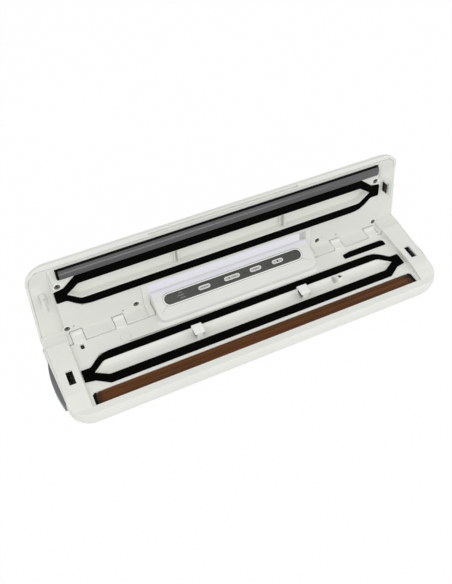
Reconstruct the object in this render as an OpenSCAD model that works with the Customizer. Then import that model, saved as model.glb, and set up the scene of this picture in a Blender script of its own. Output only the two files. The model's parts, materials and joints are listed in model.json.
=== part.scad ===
// Household vacuum sealer with its lid open.
// Every piece is drawn about the hinge axis (y = 0) and the plane where the two gaskets meet (z = 0).
// place() then moves it, so that the origin is the middle of the underside, at table level.
// X runs along the body, -Y is the front and +Z is up.

/* [Body] */
// Length of the body, without the release buttons
body_len = 366; // [340:2:400]
// Depth of the body from front to back
body_depth = 93.5; // [93:0.5:103]
// Height of the gaskets' meeting plane above the table
mate_h = 34; // [33:0.5:40]
// Height of the feet under the case
foot_h = 2; // [1:0.5:2.5]
// Wall of the mouldings
wall = 2; // [1.6:0.1:2.2]
// Radius of the front corners in plan
front_corner_r = 18; // [14:1:22]
// Radius of the back corners in plan
back_corner_r = 8; // [6:1:10]
// How much further in each end lies at the front than at the back
end_taper = 3.5; // [1:0.5:6]
// Width of the round under the front edge
front_round_w = 28; // [18:1:30]
// Height of the seam between the bottom case and the deck
seam_h = 13; // [11:0.5:15]

/* [Deck] */
// Width of the raised pad at each end
pad_w = 23; // [22.5:0.5:24]
// Height of the pads above the meeting plane
pad_h = 4.5; // [3.5:0.5:5]
// Depth of the deck below the meeting plane
deck_drop = 1.2; // [0.8:0.1:1.6]
// Depth of the vacuum trough below the deck
trough_depth = 7; // [5:0.5:8]
// Distance from the hinge axis to the gasket's back edge
gasket_near = 28.4; // [28:0.2:30]
// Distance from the gasket's front edge to the middle of the heating strip
gasket_gap = 9.7; // [9.5:0.1:10.4]
// Width of the gasket's back arm
back_arm_w = 7.5; // [6.5:0.1:8]
// Width of the gasket's front arm
front_arm_w = 8.1; // [7:0.1:8.4]
// Distance from the front edge to the middle of the heating strip
strip_inset = 14.3; // [14:0.1:14.6]
// Width of the heating strip's slot
strip_w = 13.2; // [12.4:0.1:13.4]

/* [Lid] */
// Angle between the open lid and the closed one
open_angle = 98; // [92:1:100]
// Height of the lid above the meeting plane
lid_h = 13.5; // [13:0.5:15]
// Distance from the hinge axis to the back face
hinge_inset = 9.5; // [9.5:0.1:10]
// Radius of the hinge barrel along the lid's back edge
barrel_r = 9.1; // [8.8:0.1:9.2]
// Radius of the hinge pins
pin_r = 1.2; // [1:0.1:1.4]
// Half the width of the window for the control panel
window_half = 80; // [78:0.5:84]
// Distance from the hinge axis to the window's front edge
window_reach = 24.4; // [24.2:0.2:26]

/* [Control panel] */
// Slope of the panel
panel_tilt = 25.5; // [23:0.5:27]
// Length of the dark overlay
overlay_len = 138; // [132:1:142]
// Width of the dark overlay
overlay_w = 9.8; // [9:0.1:10.4]
// Width of a key
key_w = 4.6; // [4:0.1:5]
// Travel of a key
key_travel = 0.5; // [0.3:0.1:0.6]

/* [Latches] */
// Distance from the body's end to the middle of a lid hook
hook_inset = 14.5; // [14.4:0.1:15]
// Distance from the hinge axis to the middle of a lid hook
hook_mid = 45; // [44:0.5:46]
// Travel of a release button
button_travel = 2.2; // [2:0.1:2.4]
// How far a release button stands out of the body's end
button_bulge = 3.2; // [2.8:0.1:3.6]

/* [Clearances] */
// Gap between the closed gaskets
mate_gap = 0.3; // [0.3:0.05:0.5]
// Gap between pieces that move past each other
run_gap = 0.4; // [0.3:0.05:0.5]
// Gap between a moulding and what is let into it
fit_gap = 0.15; // [0.1:0.05:0.2]
// Radial clearance of a hinge pin in the lid
pin_gap = 0.05; // [0.03:0.01:0.08]

/* [Hidden] */

white = [0.89, 0.89, 0.86];
plate_white = [0.85, 0.85, 0.82];
black = [0.06, 0.06, 0.055];
dark_grey = [0.3, 0.3, 0.29];
bar_grey = [0.33, 0.33, 0.34];
button_grey = [0.55, 0.56, 0.58];
tape_brown = [0.31, 0.2, 0.12];
steel = [0.7, 0.7, 0.72];
copper = [0.72, 0.45, 0.2];
board_green = [0.1, 0.35, 0.2];

over = 1;
disc_fn = 40;
disc_h = 0.02;
half_len = body_len / 2;
back_y = hinge_inset;
front_y = back_y - body_depth;
base_z = -mate_h;
case_z = base_z + foot_h;
floor_z = case_z + wall;
seam_z = base_z + seam_h;
deck_z = -deck_drop;
pad_x = half_len - pad_w;
axis_z = -0.5;
channel_r = barrel_r + run_gap;
channel_x = window_half - 0.3;
back_step_z = axis_z - barrel_r - 1.1;
hinge_y = body_depth / 2 - hinge_inset;
strip_mid = -front_y - strip_inset;
gasket_far = strip_mid - gasket_gap;

// Places a piece that is drawn about the hinge axis and the meeting plane.
module place() {
    translate([0, hinge_y, mate_h]) children();
}

// Turns the children about the hinge axis.
module about_hinge(angle) {
    translate([0, 0, axis_z]) rotate([angle, 0, 0]) translate([0, 0, -axis_z]) children();
}

// Places a piece of the lid, drawn closed, in the open rest pose.
module place_lid() {
    place() about_hinge(-open_angle) children();
}

// Draws a piece of the right end at the left end as well.
module both_ends() {
    children();
    mirror([1, 0, 0]) children();
}

module block(x0, x1, y0, y1, z0, z1) {
    translate([x0, y0, z0]) cube([x1 - x0, y1 - y0, z1 - z0]);
}

// Rod along X about the hinge axis.
module hinge_rod(r, x0, x1) {
    translate([x0, 0, axis_z]) rotate([0, 90, 0]) cylinder(r = r, h = x1 - x0, $fn = 96);
}

// Extrudes an outline of [y, z] points along X.
module along_x(x0, x1) {
    translate([x0, 0, 0]) rotate([90, 0, 90]) linear_extrude(height = x1 - x0) children();
}

module bar_between(z0, z1) {
    translate([0, 0, z0]) linear_extrude(height = z1 - z0) children();
}

function arc(c, r, a0, a1, n = 6) =
    [for (i = [0:n]) let (a = a0 + (a1 - a0) * i / n) [c[0] + r * cos(a), c[1] + r * sin(a)]];

// Closes an outline whose right half is given, by adding its mirror image.
function mirrored(pts) = concat(pts, [for (i = [len(pts) - 1:-1:0]) [-pts[i][0], pts[i][1]]]);

// ---- outer form of the base ----
// One level of a form: four thin discs, drawn in from the widest outline.
module form_level(z, front_in, end_in, back_in) {
    front_x = half_len - end_taper - end_in - front_corner_r;
    back_x = half_len - end_in - back_corner_r;
    for (s = [-1, 1]) {
        translate([s * front_x, front_y + front_in + front_corner_r, z])
            cylinder(r = front_corner_r, h = disc_h, $fn = disc_fn);
        translate([s * back_x, back_y - back_in - back_corner_r, z])
            cylinder(r = back_corner_r, h = disc_h, $fn = disc_fn);
    }
}

belly_z = -5;
end_round_w = 13;
back_round_w = 5;
// [depth below the pads, how far in at the front, at the ends and at the back]
edge_levels = [[0, 3.6, 2.6, 1], [0.9, 2.2, 1.4, 0.4], [2.6, 1.1, 0.5, 0.1], [4.5, 0.7, 0.3, 0]];

// Outer form of the base, or its inside when drawn in by inset.
module base_form(inset = 0) {
    round_h = belly_z - case_z;
    hull() {
        for (l = edge_levels)
            form_level(pad_h - disc_h - l[0] - inset, l[1] + inset, l[2] + inset, l[3] + inset);
        for (a = [0:15:90])
            form_level(
                belly_z - (round_h - inset) * sin(a),
                front_round_w * (1 - cos(a)) + inset,
                end_round_w * (1 - cos(a)) + inset,
                back_round_w * (1 - cos(a)) + inset
            );
    }
}

// ---- outlines shared by base and lid ----
gasket_bend_x = pad_x - 21.5;
gasket_end_x = pad_x - 1.3;
gasket_neck_x = pad_x - 10;
gasket_tip_x = pad_x - 11;
gasket_tip_y = -0.8 - (gasket_near + gasket_far) / 2;
lid_far = gasket_far + 1.8;
gasket_end_half = 6;
gasket_rubber = 3;

// The front arm lies a little further out in the lid than in the base.
module gasket_outer(grow = 0, far = gasket_far) {
    offset(delta = grow) polygon(mirrored([
        [gasket_bend_x, -gasket_near],
        [gasket_neck_x, gasket_tip_y + gasket_end_half],
        [gasket_end_x, gasket_tip_y + gasket_end_half],
        [gasket_end_x, gasket_tip_y - gasket_end_half],
        [gasket_neck_x, gasket_tip_y - gasket_end_half - 1.5],
        [gasket_bend_x, -far]
    ]));
}

module gasket_inner(grow = 0, far = gasket_far) {
    offset(delta = grow) polygon(mirrored([
        [gasket_bend_x - 0.8, -gasket_near - back_arm_w],
        [gasket_tip_x, gasket_tip_y],
        [gasket_bend_x - 1.3, -far + front_arm_w]
    ]));
}

// The gasket's ring, or its groove when grown.
module gasket_ring(grow = 0, far = gasket_far) {
    difference() {
        gasket_outer(grow, far);
        gasket_inner(-grow, far);
    }
}

trough_rim = 1.3;
strip_half = pad_x - 3;
strip_back = -strip_mid + strip_w / 2;
strip_front = -strip_mid - strip_w / 2;

// Slot outline of the heating strip, with small cut corners.
module strip_outline(grow = 0) {
    cut = 2;
    polygon(mirrored([
        [strip_half - cut + grow, strip_back + grow],
        [strip_half + grow, strip_back - cut + grow],
        [strip_half + grow, strip_front - grow]
    ]));
}

// ---- base: deck ----
slope_start_y = front_y + 23;
slope_end_y = front_y + 7;
front_strip_z = 0.6;

// Space above the pads' fall to the front strip.
module above_slope(raise = 0) {
    along_x(-half_len - over, half_len + over) polygon([
        [slope_start_y, pad_h + raise],
        [slope_end_y, front_strip_z + raise],
        [front_y - over, front_strip_z + raise],
        [front_y - over, lid_h + over],
        [slope_start_y, lid_h + over]
    ]);
}

panel_half = window_half - 0.5;
panel_front = -window_reach + 1.3;
shelf_y = gasket_tip_y - 1.6;
shelf_drop = 3;
trough_z = deck_z - trough_depth;
strip_floor_z = deck_z - 6;
groove_z = -gasket_rubber;
slot_half_w = 2.9;
slot_half_l = 7.1;
hook_x = half_len - hook_inset;
knuckle_spans = [[window_half + 27, window_half + 37], [pad_x - 15, pad_x - 4]];
boss_x = gasket_bend_x - 10.5;
boss_front_y = 1.9 - gasket_far;
boss_spots = [
    [-boss_x, -22], [-boss_x, boss_front_y], [0, -25], [0, boss_front_y],
    [boss_x, -22], [boss_x, boss_front_y]
];
boss_bottom_z = floor_z + 4;
boss_r = 3.4;
button_y0 = 30.8 - hook_mid;
button_y1 = -19.6 - hook_mid;
button_z0 = -11;
button_z1 = 1;
switch_x = 10 - pad_x;
switch_y = -15;
inlet_x = pad_x - 20;
inlet_z = -21;
inlet_face_y = back_y - 1.9;
port_x = gasket_bend_x - 45.7;
port_y = gasket_tip_y + 4.6;
port_top_z = -1.5;
rubber_strip_x0 = pad_x - 49.7;
rubber_strip_x1 = pad_x - 4;

// Space inside the deck moulding, around the walls that hang from it.
module deck_inside() {
    difference() {
        base_form(wall);
        block(-pad_x - wall, pad_x + wall, front_y, back_y, deck_z - wall, pad_h);
        translate([0, 0, -wall]) above_slope();
        bar_between(groove_z - wall, over) gasket_outer(wall);
        bar_between(trough_z - wall, over) gasket_inner(wall - trough_rim);
        bar_between(strip_floor_z - wall, over) strip_outline(wall);
        both_ends() {
            hinge_rod(channel_r + wall, channel_x - wall, half_len);
            block(channel_x - wall, half_len, 0, back_y, back_step_z - wall, pad_h);
        }
        for (p = boss_spots)
            translate([p[0], p[1], boss_bottom_z]) cylinder(r = boss_r, h = mate_h, $fn = 48);
        latch_rails();
    }
}

rail_gap_y = 11;
slider_z0 = -3.4;
slider_z1 = -1.4;

// Rails that hang under the pads and carry the latch sliders.
module latch_rails() {
    rail_w = 2;
    both_ends() for (s = [-1, 1]) {
        y0 = -hook_mid + s * (rail_gap_y + run_gap);
        y1 = y0 + s * rail_w;
        lip = y0 - s * 2;
        block(hook_x - 5, hook_x + 2.9, min(y0, y1), max(y0, y1), slider_z0 - 2, pad_h);
        block(
            hook_x - 5, hook_x + 2.9, min(lip, y1), max(lip, y1),
            slider_z0 - 2, slider_z0 - run_gap
        );
    }
    // seats of the springs
    both_ends() block(
        spring_x0 - 2, spring_x0, spring_y - 3, spring_y + 3, spring_z - 3, pad_h
    );
}

module knuckle(x0, x1) {
    top = 1.7;
    difference() {
        union() {
            hinge_rod(3, x0, x1);
            intersection() {
                hinge_rod(channel_r + 0.2, x0, x1);
                block(x0, x1, -channel_r - over, 0, axis_z - channel_r - over, axis_z + top);
            }
        }
        hinge_rod(pin_r + 0.01, x0 - over, x1 + over);
    }
}

module base_deck() {
    ring_x = 26 - gasket_bend_x;
    ring_y = -21.7;
    color(white) place() {
        difference() {
            base_form();
            deck_inside();
            block(-half_len - over, half_len + over, front_y - over, back_y + over, base_z, seam_z);
            block(-pad_x, pad_x, strip_front, back_y + over, deck_z, pad_h + over);
            above_slope();
            both_ends() {
                block(channel_x, half_len + over, 0, back_y + over, back_step_z, pad_h + over);
                hinge_rod(channel_r, channel_x, half_len + over);
            }
            // opening under the control panel
            block(
                -panel_half + 6, panel_half - 6, panel_front + wall + 0.3, back_y - 3,
                deck_z - wall - 3, over
            );
            bar_between(groove_z, over) gasket_ring(fit_gap);
            bar_between(deck_z - shelf_drop, over) gasket_inner(-trough_rim);
            intersection() {
                bar_between(trough_z, over) gasket_inner(-trough_rim);
                block(-half_len, half_len, shelf_y, 0, trough_z, over);
            }
            bar_between(strip_floor_z, over) strip_outline();
            // latch slots
            both_ends() block(
                hook_x - slot_half_w, hook_x + slot_half_w,
                -hook_mid - slot_half_l, -hook_mid + slot_half_l, 0, pad_h + over
            );
            // openings for the release buttons
            both_ends() block(
                half_len - 12, half_len + over, button_y1 - run_gap, button_y0 + run_gap,
                button_z0 - run_gap, button_z1 + run_gap
            );
            // hole over the lid switch
            block(switch_x - 1.6, switch_x + 1.6, switch_y - 2.5, switch_y + 2.5, deck_z - wall - over, over);
            // air port in the trough's floor
            translate([port_x, port_y, trough_z - wall - over])
                cylinder(r = 2 + fit_gap, h = wall + 2 * over, $fn = 48);
            bar_between(deck_z - 1, over) rubber_strip_outline(fit_gap);
            for (p = boss_spots)
                translate([p[0], p[1], boss_bottom_z - over]) cylinder(r = 1.3, h = 13, $fn = 32);
            // back wall opening for the power inlet
            inlet_hole();
        }
        both_ends() for (k = knuckle_spans) knuckle(k[0], k[1]);
        // plain moulded ring on the deck
        translate([ring_x, ring_y, deck_z]) difference() {
            cylinder(r = 5, h = 0.3, $fn = 64);
            translate([0, 0, -over]) cylinder(r = 4.5, h = 0.3 + 2 * over, $fn = 64);
        }
    }
}

module rubber_strip_outline(grow = 0) {
    y0 = -23;
    y1 = -16.6;
    offset(delta = grow) polygon([
        [rubber_strip_x0, y0], [rubber_strip_x1, y0], [rubber_strip_x1, y1 - 1.6],
        [rubber_strip_x1 - 2.6, y1], [rubber_strip_x0 + 8, y1 - 0.2], [rubber_strip_x0, y1 - 1.8]
    ]);
}

module deck_rubber_strip() {
    color(black) place() bar_between(deck_z - 1, deck_z + 0.8) rubber_strip_outline();
}

module inlet_hole() {
    translate([inlet_x, inlet_face_y - 5, inlet_z]) rotate([-90, 0, 0]) inlet_body(fit_gap, 10, 0);
}

// Figure-eight inlet: two rounds joined by a bar, h deep.
module inlet_body(grow, h, z0) {
    for (s = [-1, 1]) translate([s * 4, 0, z0]) cylinder(r = 4.5 + grow, h = h, $fn = 48);
    translate([-4, -4.5 - grow, z0]) cube([8, 9 + 2 * grow, h]);
}

module power_inlet() {
    depth = 12;
    color(black) place() translate([inlet_x, inlet_face_y - depth, inlet_z]) rotate([-90, 0, 0]) {
        difference() {
            inlet_body(0, depth, 0);
            inlet_body(-1.2, depth, 2);
        }
        // collar behind the wall
        translate([0, 0, 2.4]) difference() {
            translate([-10, -6.2, 0]) cube([20, 12.4, 3.4]);
            inlet_body(-0.1, 3.4 + 2 * over, -over);
        }
        for (s = [-1, 1]) translate([s * 4, 0, 1]) cylinder(r = 1.1, h = 8, $fn = 24);
    }
}

// ---- base: bottom case and what stands on it ----
foot_x = half_len - 33;
foot_spots = [
    [-foot_x, front_y + 34.5], [foot_x, front_y + 34.5], [-foot_x, -5], [foot_x, -5], [0, -hinge_y]
];
foot_r = 6;

module bottom_case() {
    color(white) place() difference() {
        union() {
            difference() {
                base_form();
                base_form(wall);
                block(-half_len - over, half_len + over, front_y - over, back_y + over, seam_z, pad_h + over);
            }
            for (p = boss_spots)
                translate([p[0], p[1], floor_z - over])
                    cylinder(r = 5, h = boss_bottom_z - floor_z + over, $fn = 48);
            // cradles of the motor and the pump
            for (x = [-50, -34])
                block(x, x + 3, motor_y - 9, motor_y + 9, floor_z - over, motor_z - motor_r + 3);
            block(-18, 8, motor_y - 8, motor_y + 8, floor_z - over, motor_z - 11.5);
            // posts of the main circuit board
            for (x = [board_x0 + 10, board_x1 - 20], y = [board_y0 + board_hole_inset, board_y1 - board_hole_inset])
                translate([x, y, floor_z - over]) cylinder(r = 2.2, h = board_z - floor_z + over, $fn = 32);
            // bed of the transformer
            translate([transformer_x, transformer_y, 0])
                block(
                    2 - transformer_len / 2, transformer_len / 2 - 2, 2 - transformer_w / 2,
                    transformer_w / 2 - 2, floor_z - over, transformer_z
                );
        }
        for (p = boss_spots) translate([p[0], p[1], case_z - over]) {
            cylinder(r = 3, h = over + 2.4, $fn = 40);
            cylinder(r = 1.5, h = 20, $fn = 32);
        }
        translate([0, motor_y, motor_z]) rotate([0, 90, 0])
            translate([0, 0, -60]) cylinder(r = motor_r + fit_gap, h = 40, $fn = 64);
        inlet_hole();
    }
}

module rubber_feet() {
    color(black) place() for (p = foot_spots)
        translate([p[0], p[1], base_z]) cylinder(r1 = foot_r - 0.6, r2 = foot_r, h = foot_h, $fn = 48);
}

module case_screws() {
    color(steel) place() for (p = boss_spots) translate([p[0], p[1], case_z]) {
        translate([0, 0, 0.6]) cross_head(2.7, 1.8);
        translate([0, 0, 2.4]) cylinder(r = 1.25, h = 12, $fn = 32);
    }
}

// Screw head whose outer face, with its cross, is at z = 0.
module cross_head(r, h) {
    difference() {
        cylinder(r = r, h = h, $fn = 40);
        for (a = [0, 90]) rotate([0, 0, a]) translate([-r * 0.55, -0.4, -over]) cube([r * 1.1, 0.8, over + 1]);
    }
}

// ---- base: control panel ----
panel_y = -7.6;
panel_z = 11.3;
overlay_t = 0.6;
key_gap = 0.25;
key_proud = 0.7;
board_drop = 9;

// Moves to the middle of the sloping overlay's face, with Z along its outward normal.
module on_panel() {
    translate([0, panel_y, panel_z]) rotate([panel_tilt, 0, 0]) children();
}

module pill(length, width, h) {
    for (s = [-1, 1]) translate([s * (length - width) / 2, 0, 0]) cylinder(r = width / 2, h = h, $fn = 40);
    translate([-(length - width) / 2, -width / 2, 0]) cube([length - width, width, h]);
}

// [middle along the panel, length] of each key
keys = [[-31, 12.8], [-3.4, 17.3], [20.7, 12.8], [43.6, 12.8]];
led_x = [-15.6, 9.5, 33];
mode_light_x = -53.3;
mode_light_y = [-3.2, 0, 3.2];

// Profile of the housing, drawn in by inset.
module panel_profile(inset, bottom) {
    t = panel_tilt;
    nose = [panel_front + 4, 1.7];
    crown = [2.6, 10.2];
    offset(delta = -inset) polygon(concat(
        [[back_y - 0.2, bottom - inset], [panel_front, bottom - inset]],
        arc(nose, 4, 180, 90 + t, 6),
        [for (p = [[-18, 0], [-4, 0]]) [p[0], panel_z + (p[0] - panel_y) * tan(t)]],
        arc(crown, 4.4, 90 + t, 20, 8),
        [[back_y - 0.9, 5], [back_y - 0.2, 2]]
    ));
}

module panel_housing() {
    end_r = 6;
    color(white) place() difference() {
        intersection() {
            along_x(-panel_half, panel_half) panel_profile(0, deck_z);
            bar_between(deck_z, lid_h + 4) offset(r = end_r) offset(delta = -end_r)
                translate([-panel_half, panel_front]) square([2 * panel_half, back_y - 0.2 - panel_front]);
        }
        along_x(-panel_half + wall + 1.5, panel_half - wall - 1.5) panel_profile(wall, deck_z - 2);
        on_panel() translate([0, 0, -overlay_t])
            pill(overlay_len + 2 * fit_gap, overlay_w + 2 * fit_gap, overlay_t + over);
        on_panel() panel_holes(10);
    }
}

// Holes for the keys and lights, h deep.
module panel_holes(h) {
    for (k = keys)
        translate([k[0], 0, -h]) pill(k[1] + 2 * key_gap, key_w + 2 * key_gap, h + over);
    for (x = led_x) translate([x, 0, -h]) cylinder(r = 0.6, h = h + over, $fn = 24);
    for (y = mode_light_y)
        translate([mode_light_x - 1.6, y - 0.45, -h]) cube([3.2, 0.9, h + over]);
}

module panel_overlay() {
    color(dark_grey) place() on_panel() difference() {
        translate([0, 0, -overlay_t]) pill(overlay_len, overlay_w, overlay_t);
        panel_holes(over);
    }
}

module panel_key(i) {
    flange_z = -overlay_t - wall - 0.3;
    color(white) place() on_panel() translate([keys[i][0], 0, 0]) {
        translate([0, 0, flange_z - 0.8]) pill(keys[i][1], key_w, key_proud - flange_z + 0.8);
        translate([0, 0, flange_z - 0.8]) pill(keys[i][1] + 1.6, key_w + 1.6, 0.8);
        translate([0, 0, flange_z - 1.4]) cylinder(r = 1.5, h = 0.7, $fn = 32);
    }
}

module indicator_lenses() {
    color("ivory") place() on_panel() {
        for (x = led_x) translate([x, 0, -4]) cylinder(r = 0.55, h = 4, $fn = 24);
        for (y = mode_light_y) translate([mode_light_x - 1.55, y - 0.4, -4]) cube([3.1, 0.8, 4]);
        for (p = concat([for (x = led_x) [x, 0]], [[mode_light_x, 0]]))
            translate([p[0] - 2, p[1] - 4.2, -overlay_t - wall - 1.5]) cube([4, 8.4, 1.2]);
    }
}

module panel_circuit_board() {
    button_top = -overlay_t - wall - 0.3 - 1.4 - key_travel - 0.1;
    color(board_green) place() on_panel() {
        translate([3 - overlay_len / 2, -5, -board_drop - 1.2]) cube([overlay_len - 6, 10, 1.2]);
        for (k = keys) translate([k[0], 0, -board_drop]) {
            translate([-3, -3, 0]) cube([6, 6, 3.2]);
            cylinder(r = 1.6, h = board_drop + button_top, $fn = 32);
        }
        for (x = [7 - overlay_len / 2, overlay_len / 2 - 7]) translate([x, 0, -board_drop]) cylinder(r = 2, h = board_drop - overlay_t - wall, $fn = 32);
    }
}

// ---- base: vacuum system ----
motor_r = 12;
motor_y = -8;
motor_z = -15;

module pump_motor() {
    color(steel) place() translate([-56, motor_y, motor_z]) rotate([0, 90, 0]) {
        cylinder(r = motor_r, h = 31, $fn = 96);
        translate([0, 0, 31]) cylinder(r = 4, h = 2, $fn = 48);
        translate([0, 0, -1.5]) cylinder(r = 3, h = 1.5, $fn = 48);
    }
}

module vacuum_pump() {
    nozzle_y = motor_y - 4;
    color(dark_grey) place() {
        block(-23, 9, motor_y - 12, motor_y + 12, motor_z - 11.5, motor_z + 12);
        for (x = [-19, -9, 1]) block(x, x + 4, motor_y - 10, motor_y + 10, motor_z + 12, motor_z + 14);
        translate([9, nozzle_y, hose_z]) rotate([0, 90, 0]) cylinder(r = 1.4, h = 7, $fn = 32);
    }
}

hose_r = 2.4;
hose_bore = 1.45;
hose_z = -19;
hose_bend = 7;
hose_start = 9.2;

// Hose from the pump along the body, then forward and up to the port.
module vacuum_hose() {
    y0 = motor_y - 4;
    color("whitesmoke") place() {
        translate([hose_start, y0, hose_z]) rotate([0, 90, 0]) tube(port_x - hose_bend - hose_start);
        translate([port_x - hose_bend, y0 - hose_bend, hose_z]) elbow();
        translate([port_x, y0 - hose_bend, hose_z]) rotate([90, 0, 0]) tube(y0 - 2 * hose_bend - port_y);
        translate([port_x, port_y + hose_bend, hose_z + hose_bend]) rotate([0, 90, 0]) rotate([0, 0, 180])
            mirror([1, 0, 0]) elbow();
    }
}

module tube(length) {
    difference() {
        cylinder(r = hose_r, h = length, $fn = 40);
        translate([0, 0, -over]) cylinder(r = hose_bore, h = length + 2 * over, $fn = 40);
    }
}

module elbow() {
    rotate_extrude(angle = 90, $fn = 64) translate([hose_bend, 0]) difference() {
        circle(r = hose_r, $fn = 40);
        circle(r = hose_bore, $fn = 40);
    }
}

module air_port() {
    color(white) place() translate([port_x, port_y, 0]) difference() {
        union() {
            translate([0, 0, trough_z]) cylinder(r = 2.8, h = port_top_z - trough_z, $fn = 48);
            translate([0, 0, trough_z - wall]) cylinder(r = 2, h = wall, $fn = 48);
            translate([0, 0, hose_z + hose_bend + 0.2])
                cylinder(r = hose_bore - 0.05, h = trough_z - wall - hose_z - hose_bend, $fn = 48);
        }
        translate([0, 0, hose_z]) cylinder(r = 0.8, h = mate_h, $fn = 32);
        translate([0, 0, port_top_z - 2]) cylinder(r = 1.8, h = 2 + over, $fn = 32);
    }
}

module lower_gasket() {
    color(black) place() bar_between(groove_z, 0) gasket_ring();
}

clip_x0 = 48;
clip_x1 = 57.5;

module bag_clips() {
    post_y = -gasket_near - back_arm_w - 2.2;
    arm_y = front_arm_w + 3.3 - gasket_far;
    top_z = 5;
    color(white) place() both_ends() {
        block(clip_x0, clip_x1, post_y - 1.8, post_y, trough_z, top_z);
        block(clip_x0, clip_x1, arm_y, post_y, top_z - 1.8, top_z);
        block(clip_x0 + 2, clip_x1 - 2, arm_y, arm_y + 1.6, deck_z - shelf_drop, top_z - 1.8);
    }
}

// ---- base: heating strip ----
tape_top_z = deck_z - 1;
tape_t = 0.3;
element_t = 0.3;
heater_top_z = tape_top_z - tape_t - element_t;

module heater_bar() {
    color("tan") place() block(
        -strip_half + 4, strip_half - 4, strip_front + 0.6, strip_back - 0.6, strip_floor_z, heater_top_z
    );
}

module heating_element() {
    color(steel) place() block(
        -strip_half + 1, strip_half - 1, -strip_mid - 1.5, -strip_mid + 1.5,
        heater_top_z, heater_top_z + element_t
    );
}

module heater_tape() {
    color(tape_brown) place() block(
        -strip_half + 2.4, strip_half - 2.4, strip_front + 0.2, strip_back - 0.2,
        tape_top_z - tape_t, tape_top_z
    );
}

module heater_terminals() {
    color(copper) place() both_ends()
        block(strip_half - 3.8, strip_half - 1, -strip_mid - 2.5, -strip_mid + 2.5, strip_floor_z, heater_top_z);
}

// ---- base: electrics ----
board_z = floor_z + 3;
board_t = 1.6;
board_x0 = -60;
board_x1 = 70;
board_y0 = 7.9 - gasket_far;
board_y1 = -31;
board_mid_y = (board_y0 + board_y1) / 2;
board_hole_inset = 3;
transformer_z = floor_z + 1;
transformer_len = 40;
transformer_w = 30;
transformer_h = 15;
transformer_x = -100;
transformer_y = board_mid_y + 1;

module main_circuit_board() {
    top = board_z + board_t;
    color(board_green) place() {
        block(board_x0, board_x1, board_y0, board_y1, board_z, top);
        // capacitors, a relay and a connector
        for (x = [-40, -28, 30]) translate([x, board_mid_y, top]) cylinder(r = 4.5, h = 10, $fn = 48);
        block(-14, 2, board_mid_y - 6, board_mid_y + 6, top, top + 10);
        block(44, 60, board_mid_y - 6, board_mid_y + 6, top, top + 6);
    }
}

module transformer() {
    window_w = transformer_w / 5;
    window_len = transformer_len - 10;
    winding_z = transformer_z + 3;
    color(dark_grey) place() translate([transformer_x, transformer_y, 0]) {
        difference() {
            block(
                -transformer_len / 2, transformer_len / 2, -transformer_w / 2, transformer_w / 2,
                transformer_z, transformer_z + transformer_h
            );
            for (s = [-1, 1]) translate([0, s * window_w, 0])
                block(
                    -window_len / 2, window_len / 2, -window_w / 2, window_w / 2,
                    winding_z, transformer_z + transformer_h + over
                );
        }
        color(copper) for (s = [-1, 1]) translate([0, s * window_w, 0])
            block(
                3 - window_len / 2, window_len / 2 - 3, 0.5 - window_w / 2, window_w / 2 - 0.5,
                winding_z, transformer_z + transformer_h - 1
            );
    }
}

module lid_switch() {
    color(black) place() {
        block(switch_x - 6, switch_x + 6, switch_y - 3, switch_y + 3, deck_z - wall - 7, deck_z - wall);
        block(switch_x - 1, switch_x + 1, switch_y - 1.5, switch_y + 1.5, deck_z - wall, deck_z - 0.5);
    }
}

// ---- latches ----
hook_half_w = 2.2;
hook_half_l = 6.3;
hook_tip_z = -6;
hook_top_z = pad_h + 0.5;
notch_depth = 1.6;
catch_depth = 1.3;
catch_x = hook_x - hook_half_w + catch_depth;
catch_w = 2.6;
button_r = (pow((button_y0 - button_y1) / 2, 2) + pow(button_bulge, 2)) / (2 * button_bulge);
button_face_x = half_len - 1.9;
button_turn = -atan(end_taper / (body_depth - front_corner_r - back_corner_r));

// Release button with its slider: a frame round the lid hook, whose inner bar is the catch.
module release_button() {
    mid_y = (button_y0 + button_y1) / 2;
    color(button_grey) difference() {
        union() {
            intersection() {
                translate([button_face_x + button_bulge - button_r, mid_y, button_z0])
                    cylinder(r = button_r, h = button_z1 - button_z0, $fn = 360);
                block(
                    half_len - 9, half_len + button_bulge + over, button_y1, button_y0,
                    button_z0, button_z1
                );
            }
            block(
                catch_x - catch_w, half_len - 7, -hook_mid - rail_gap_y, -hook_mid + rail_gap_y,
                slider_z0, slider_z1
            );
        }
        // hollow behind the button's face
        block(
            half_len - 9 - over, half_len - 4.4, button_y1 + 2, button_y0 - 2,
            slider_z1, button_z1 - 2
        );
        block(
            half_len - 9 - over, half_len - 4.4, button_y1 + 2, button_y0 - 2,
            button_z0 + 2, slider_z0
        );
        // window round the hook
        block(
            catch_x, hook_x + hook_half_w + button_travel + 0.6,
            -hook_mid - hook_half_l - 0.7, -hook_mid + hook_half_l + 0.7,
            slider_z0 - over, slider_z1 + over
        );
    }
}

module right_release_button() {
    place() release_button();
}

module left_release_button() {
    place() mirror([1, 0, 0]) release_button();
}

spring_r = 2.2;
spring_wire = 0.35;
spring_y = button_y0 - 9;
spring_z = -6.5;
spring_x0 = half_len - 15;
spring_x1 = half_len - 4.4;

// Coil spring along X, as rings of a swept helix.
module coil_spring(length) {
    turns = 6;
    steps = turns * 12;
    sides = 6;
    pts = [
        for (i = [0:steps], j = [0:sides - 1])
            let (a = 360 * i / 12, b = 360 * j / sides, r = spring_r + spring_wire * cos(b))
            [spring_wire + (length - 2 * spring_wire) * i / steps + spring_wire * sin(b), r * cos(a), r * sin(a)]
    ];
    faces = concat(
        [[for (j = [0:sides - 1]) j]],
        [for (i = [0:steps - 1], j = [0:sides - 1])
            let (k = (j + 1) % sides)
            [i * sides + j, (i + 1) * sides + j, (i + 1) * sides + k, i * sides + k]],
        [[for (j = [sides - 1:-1:0]) steps * sides + j]]
    );
    polyhedron(points = pts, faces = faces, convexity = 6);
}

module latch_spring() {
    color(steel) translate([spring_x0, spring_y, spring_z]) coil_spring(spring_x1 - spring_x0);
}

module right_latch_spring() {
    place() latch_spring();
}

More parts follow.
